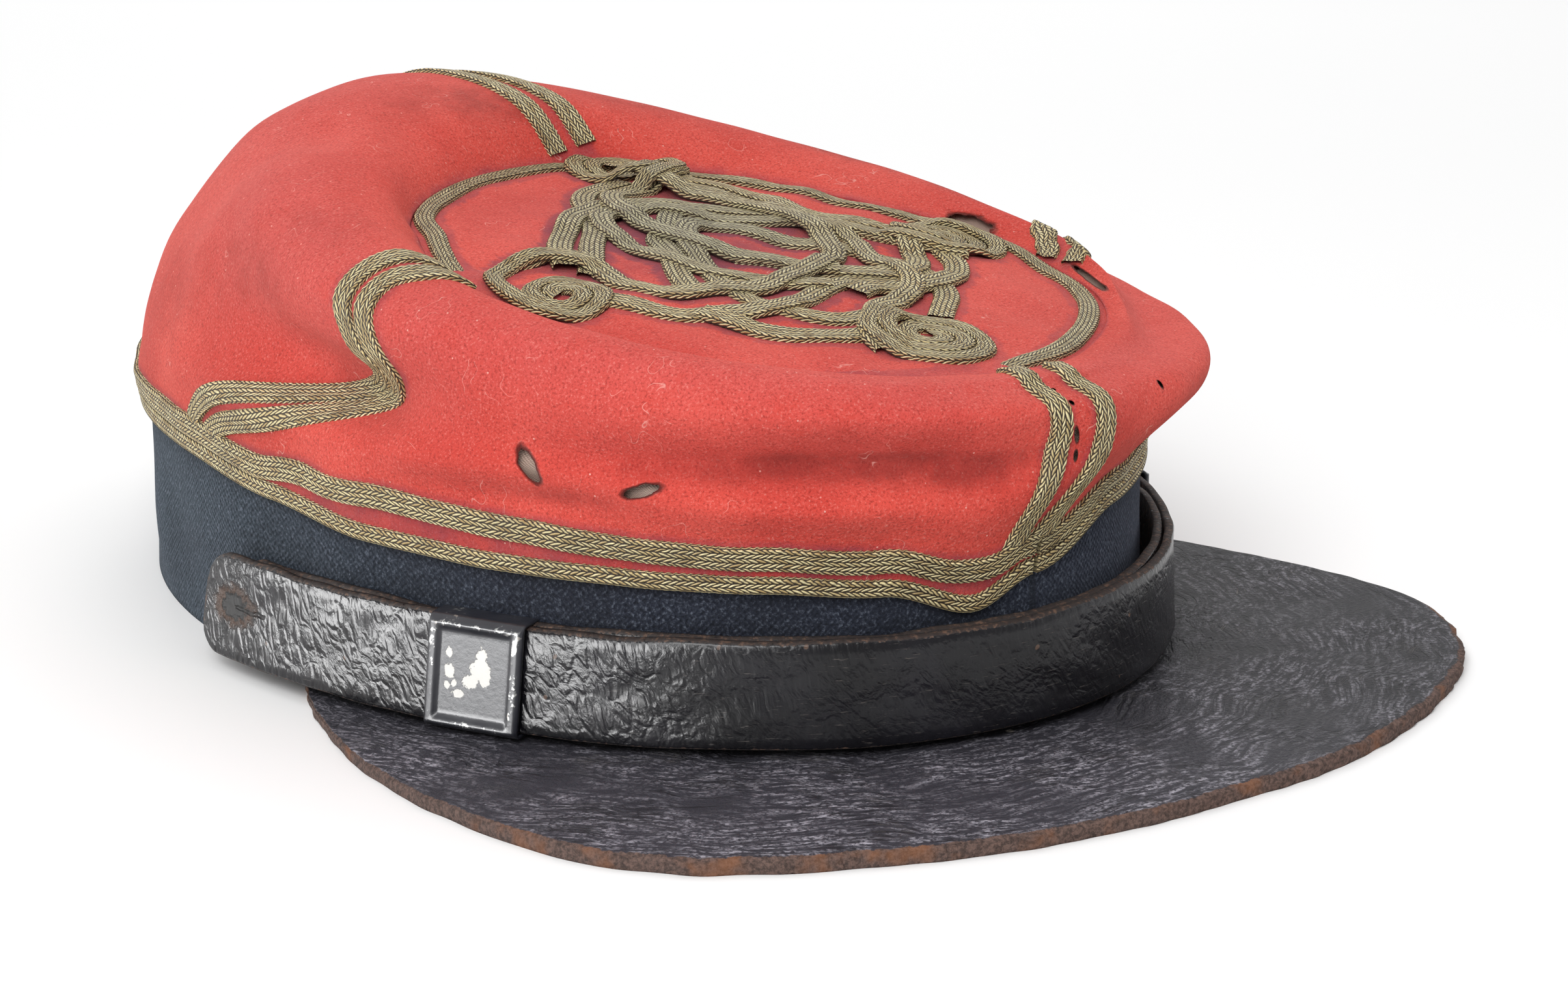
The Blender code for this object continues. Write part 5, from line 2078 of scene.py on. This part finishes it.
@dataclass
class Strap:
    """One run of the chin strap.

    Attributes:
        node: Node that it stands for.
        grow: Distance of its inner face outside the band.
        turn: Angle of its ends either side of the front.
        material: Its leather.
        seed: Seed of its unevenness.
        steps: Stations from end to end.
        corner: Radius of its corners.
        worn_end: How far its ends are worn raw.
        crazed: Angle where its crazing starts, and over how many degrees.
    """

    node: str
    grow: float
    turn: float
    material: Material
    seed: int
    steps: int = 560
    corner: float = 5.0 * MM
    worn_end: float = 1.5 * MM
    crazed: tuple[float, float] = (38.0, 14.0)

    @staticmethod
    def section() -> list[tuple[float, float]]:
        """Outline of the strap's cross-section.

        Returns:
            Points as shares of its height and of its thickness, from the inner foot up and round.
        """
        outline = [(0.0, 0.0), (0.0, 0.5), (0.012, 0.86), (0.035, 1.0), (0.12, 1.0)]
        outline += [(0.12 + 0.76 * k / 12.0, 1.0) for k in range(1, 13)]
        return outline + [(0.965, 1.0), (0.988, 0.86), (1.0, 0.5), (1.0, 0.0), (0.7, 0.0), (0.3, 0.0)]

    def build(self, studio: Studio) -> None:
        """Makes the strap.

        Args:
            studio: Studio that takes the pieces.
        """
        angle = np.linspace(self.turn, -self.turn, self.steps)
        line = oval_point(angle, self.grow, 0.0)
        run = run_along(line)
        to_end = np.minimum(run, run[-1] - run)
        beyond = np.maximum(self.corner - to_end, 0.0)
        trim = self.corner - np.sqrt(np.maximum(self.corner ** 2 - beyond ** 2, 0.0))
        uneven = Ripples(50 * MM, 9 * MM, seed=self.seed)
        low = trim + uneven.at(line) * 0.15 * MM
        high = STRAP_TALL - trim + uneven.at(line + 0.2) * 0.22 * MM
        points = []
        uvs = []
        edges = []
        for rise, skin in self.section():
            z = low + (high - low) * rise
            wave = uneven.at(line + z[:, None]) * 0.10 * MM
            lean = strap_lean(angle) * (1.0 - z / STRAP_TALL)
            reach = self.grow + skin * STRAP_THICK * 0.95 + lean + wave
            points.append(oval_point(angle, reach, STRAP_FOOT + z))
            uvs.append(np.stack([run, z], -1))
            near_edge = 1.0 - min(rise, 1.0 - rise) / 0.05
            edges.append(max(0.0, near_edge) if skin > 0.9 else 1.0)
        grid = np.stack(points, 1)
        count = grid.shape[1]
        faces = [grid_faces(self.steps, count, False, True)]
        for base, flip in ((0, 1), ((self.steps - 1) * count, -1)):
            ring = base + np.arange(count)
            caps = [(ring[k], ring[k + 1], ring[-k - 2], ring[-k - 1]) for k in range(count // 2 - 1)]
            faces.append(np.array(caps)[:, ::flip])
        ends = np.maximum(0.0, 1.0 - to_end / self.worn_end)[:, None]
        crazed = np.clip((angle - self.crazed[0]) / self.crazed[1], 0.0, 1.0)[:, None]
        values = {"edge": np.maximum(np.array(edges), ends), "crazed": crazed}
        surface = grid_surface(grid, np.concatenate(faces), np.stack(uvs, 1), values)
        studio.piece(self.node + "_leather", surface, [self.material], self.node)


@dataclass
class Slide:
    """A flat tin slide that wraps both runs of the strap, with a raised rim round its panel.

    Attributes:
        node: Node that it stands for.
        angle: Angle round the cap where it sits.
        material: Its tin.
        metal: Thickness of the tin.
        slack: Room between the strap and the tin.
        corner: Radius of its corners.
        rim_wide: Width of the raised rim.
        rim_tall: Height of the raised rim.
        widths: Points across it.
    """

    node: str
    angle: float
    material: Material
    metal: float = 0.5 * MM
    slack: float = 0.5 * MM
    corner: float = 0.9 * MM
    rim_wide: float = 2.3 * MM
    rim_tall: float = 0.75 * MM
    widths: int = 48

    def section(self, half_deep: float, half_tall: float) -> Array:
        """Outline of the sleeve, with close points up its outer face.

        Args:
            half_deep: Half of its depth.
            half_tall: Half of its height.

        Returns:
            Four rows: places outwards and up, and the outward direction's two numbers.
        """
        deep = half_deep - self.corner
        tall = half_tall - self.corner
        loop = []
        for out, rise, start in ((-1, -1, 180), (1, -1, 270), (1, 1, 0), (-1, 1, 90)):
            for turn in np.radians(start + 22.5 * np.arange(5)):
                way = (math.cos(turn), math.sin(turn))
                loop.append((out * deep + way[0] * self.corner, rise * tall + way[1] * self.corner, *way))
            if (out, rise) == (1, -1):
                loop += [(half_deep, tall * (-1.0 + 2.0 * step / 36.0), 1.0, 0.0) for step in range(1, 36)]
        return np.array(loop).T

    def build(self, studio: Studio) -> None:
        """Makes the slide.

        Args:
            studio: Studio that takes the pieces.
        """
        angle = np.array(self.angle)
        deep = STRAP_OUTER_GROW + STRAP_THICK - STRAP_INNER_GROW
        centre = oval_point(angle, STRAP_INNER_GROW + deep / 2.0, STRAP_FOOT + STRAP_TALL / 2.0)
        outward = oval_outward(angle)
        along = np.array([-outward[1], outward[0], 0.0])
        half_tall = STRAP_TALL / 2.0 + self.slack
        out, z, wide, tall = self.section(deep / 2.0 + self.slack + self.metal * 0.6, half_tall)
        across = np.linspace(-SLIDE_WIDE / 2.0, SLIDE_WIDE / 2.0, self.widths)[:, None]
        edge = np.minimum(SLIDE_WIDE / 2.0 - np.abs(across), half_tall - np.abs(z))
        on_face = np.broadcast_to(wide > 0.999, edge.shape)
        raised = np.exp(-((edge - self.rim_wide * 0.45) / (self.rim_wide * 0.42)) ** 4) * on_face
        slope = strap_lean(angle) * (0.5 - z / STRAP_TALL)
        shells = []
        for skin, lift in ((0.0, raised * self.rim_tall), (-self.metal, raised * 0.0)):
            reach = out + wide * (skin + lift) + slope
            spot = centre + outward * reach[..., None] + along * across[..., None]
            spot[..., 2] += z + tall * skin
            shells.append(spot)
        grid = np.concatenate(shells)
        count = grid.shape[1]
        second = self.widths * count
        shell = grid_faces(self.widths, count, False, True)
        faces = [shell, shell[:, ::-1] + second]
        ring = np.arange(count)
        after = (ring + 1) % count
        for base in (0, second - count):
            faces.append(base + np.stack([ring, after, second + after, second + ring], -1))
        rim = np.where(on_face, raised, 0.55)
        face = (on_face & (edge > self.rim_wide * 0.9)).astype(float)
        values = {"rim": np.concatenate([rim, rim]), "face": np.concatenate([face, face])}
        uv = np.stack(np.broadcast_arrays(across, z), -1)
        surface = grid_surface(grid, np.concatenate(faces), np.concatenate([uv, uv]), values)
        studio.piece(self.node + "_tin", surface, [self.material], self.node)


@dataclass
class Peak:
    """The flat leather peak.

    Attributes:
        material: Its leather.
        steps: Stations from side to side.
        rows: Rows from the band to the rim.
        rim_levels: Heights of the cut rim's rows, as shares of its thickness.
        grain_radius: Radius at which lengths along the grain are measured.
    """

    material: Material
    steps: int = 420
    rows: int = 64
    rim_levels: tuple[float, ...] = (0.82, 0.6, 0.38, 0.15)
    grain_radius: float = 110 * MM

    @staticmethod
    def depth(angle: Array) -> Array:
        """Depth of the peak beyond the band.

        Args:
            angle: Angles either side of the front.

        Returns:
            The depths.
        """
        around, *sides = np.array(PEAK_LINE, float).T
        near, far = (np.interp(np.abs(angle), around, side) for side in sides)
        return smooth_run(np.where(angle > 0, near, far), 7, False) * PEAK_DEPTH

    def rim(self, foot: Array, thick: Array, way: Array) -> Array:
        """Rough cut rim, from its top edge down.

        Args:
            foot: Points of the rim on the floor.
            thick: Thickness there.
            way: Outward directions there.

        Returns:
            Points of shape (stations, rows, 3).
        """
        bumps = Ripples(7 * MM, 1.5 * MM, seed=4)
        rows = []
        for level in self.rim_levels:
            row = foot.copy()
            row[:, 2] = thick * level
            out = bumps.at(row * np.array([1.0, 1.0, 3.0])) * 0.18 * MM + 0.12 * MM
            rows.append(row + way * out[:, None])
        return np.stack(rows, 1)

    def build(self, studio: Studio) -> None:
        """Makes the peak.

        Args:
            studio: Studio that takes the pieces.
        """
        limit = PEAK_LINE[-1][0]
        angle = np.linspace(-limit, limit, self.steps)
        depth = self.depth(angle)
        turn = np.radians(angle)
        way = np.stack([-np.sin(turn), -np.cos(turn), np.zeros_like(turn)], -1)
        root = 1.0 / np.hypot(np.sin(turn) / HALF_WIDTH, np.cos(turn) / HALF_LENGTH) + PEAK_CLEAR
        ragged = Ripples(16 * MM, 3 * MM, seed=21).at(way * root[:, None]) * 0.25 * MM
        ragged *= np.minimum(1.0, depth / (6 * MM))
        share = np.linspace(0.0, 1.0, self.rows)
        reach = root[:, None] + (depth + ragged)[:, None] * share
        flat = way[:, None, :] * reach[..., None]
        grown = np.minimum(1.0, depth / PEAK_DEPTH)[:, None]
        thick = PEAK_ROOT_THICK + (PEAK_RIM_THICK - PEAK_ROOT_THICK) * grown * share
        wave = Ripples(40 * MM, 12 * MM, seed=9).at(flat) * 0.22 * MM * np.sin(share * math.pi)
        rounding = np.clip((share - 0.985) / 0.015, 0.0, 1.0) ** 2 * 0.35 * MM
        top = flat.copy()
        top[..., 2] = thick + wave - rounding
        grid = np.concatenate([top, self.rim(flat[:, -1], thick[:, -1], way), flat[:, ::-1]], 1)
        rows = np.concatenate([share, np.ones(len(self.rim_levels)), share[::-1]])
        uv = np.stack(np.broadcast_arrays(turn[:, None] * self.grain_radius, rows * depth[:, None]), -1)
        edge = np.clip(1.0 - (1.0 - rows) * PEAK_DEPTH / (1.6 * MM), 0.0, 1.0)
        faces = grid_faces(self.steps, len(rows), False, True)
        surface = grid_surface(grid, faces, uv, {"edge": edge})
        studio.piece("peak_leather", surface, [self.material], "peak")


# Tears of the wool and worn spots between the front braids in millimetres: middle, direction, half length
# and half width
TEARS = (
    ((-66.3, -58.1, 45.5), (1.2, -3.1, -5.1), 3.0, 1.15),
    ((-56.6, -74.5, 42.8), (3.7, -4.4, 1.5), 3.2, 0.85),
    ((27.0, -104.7, 51.9), (0.2, 0.0, -1.0), 1.7, 0.40),
    ((57.0, -27.0, 64.0), (0.2, -1.0, 0.0), 4.2, 2.9),
    ((55.5, -59.0, 58.5), (-7.0, -19.0, -2.0), 8.0, 0.55),
    ((2.6, -105.5, 57.0), (0.0, 0.2, -1.0), 1.3, 0.30),
    ((3.0, -107.5, 52.5), (0.2, 0.0, -1.0), 1.0, 0.35),
    ((3.2, -108.3, 48.5), (0.2, 0.2, -1.0), 1.5, 0.38),
    ((3.6, -106.7, 44.5), (-0.2, 0.2, -1.0), 1.1, 0.34),
    ((3.2, -106.0, 40.0), (-0.3, 0.2, -1.0), 0.9, 0.26),
)


def settled(crown: CrownForm, row: tuple) -> Tear:
    """A tear of the table, moved to the nearest spot of the wool.

    Args:
        crown: The crown that it is in.
        row: A row of TEARS.

    Returns:
        The tear.
    """
    at, along, half_long, half_wide = row
    spot = crown.nearest(tuple(c * MM for c in at))
    return Tear(tuple(spot), along, half_long * MM, half_wide * MM)


def main() -> None:
    """Builds the cap's looks and the studio."""
    logging.basicConfig(level=logging.INFO, format="%(name)s: %(message)s")
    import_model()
    studio = Studio()
    crown = CrownForm(SMALL_DENTS)
    disc = DiscForm()
    braid = Braid(crown)
    red = RedWool(tears=tuple(settled(crown, row) for row in TEARS)).build()
    gilt = GiltBraid().build()
    tin = JapannedTin().build()
    CrownCloth(crown, red, Lining().build()).build(studio)
    HemBraids(braid, gilt).build(studio)
    QuarterBraids(braid, gilt).build(studio)
    Knot(braid, disc, gilt).build(studio)
    DiscCloth(disc, RedWool().build()).build(studio)
    Band(BlueWool().build()).build(studio)
    outer = StrapLeather("strap_leather", BUTTONHOLE).build()
    inner = StrapLeather("strap_inner").build()
    Strap("chin_strap_outer", STRAP_OUTER_GROW, STRAP_TURN, outer, 31).build(studio)
    Strap("chin_strap_inner", STRAP_INNER_GROW, STRAP_TURN - 4.0, inner, 32).build(studio)
    Slide("strap_slide_near", SLIDE_TURN, tin).build(studio)
    Slide("strap_slide_far", -SLIDE_TURN, tin).build(studio)
    Peak(PeakLeather().build()).build(studio)
    studio.floor()
    studio.lights()
    studio.camera()
    for item in studio.made:
        triangles = sum(len(face.vertices) - 2 for face in item.data.polygons)
        LOG.info("%s: %d triangles", item.name, triangles)


if __name__ == "__main__":
    main()
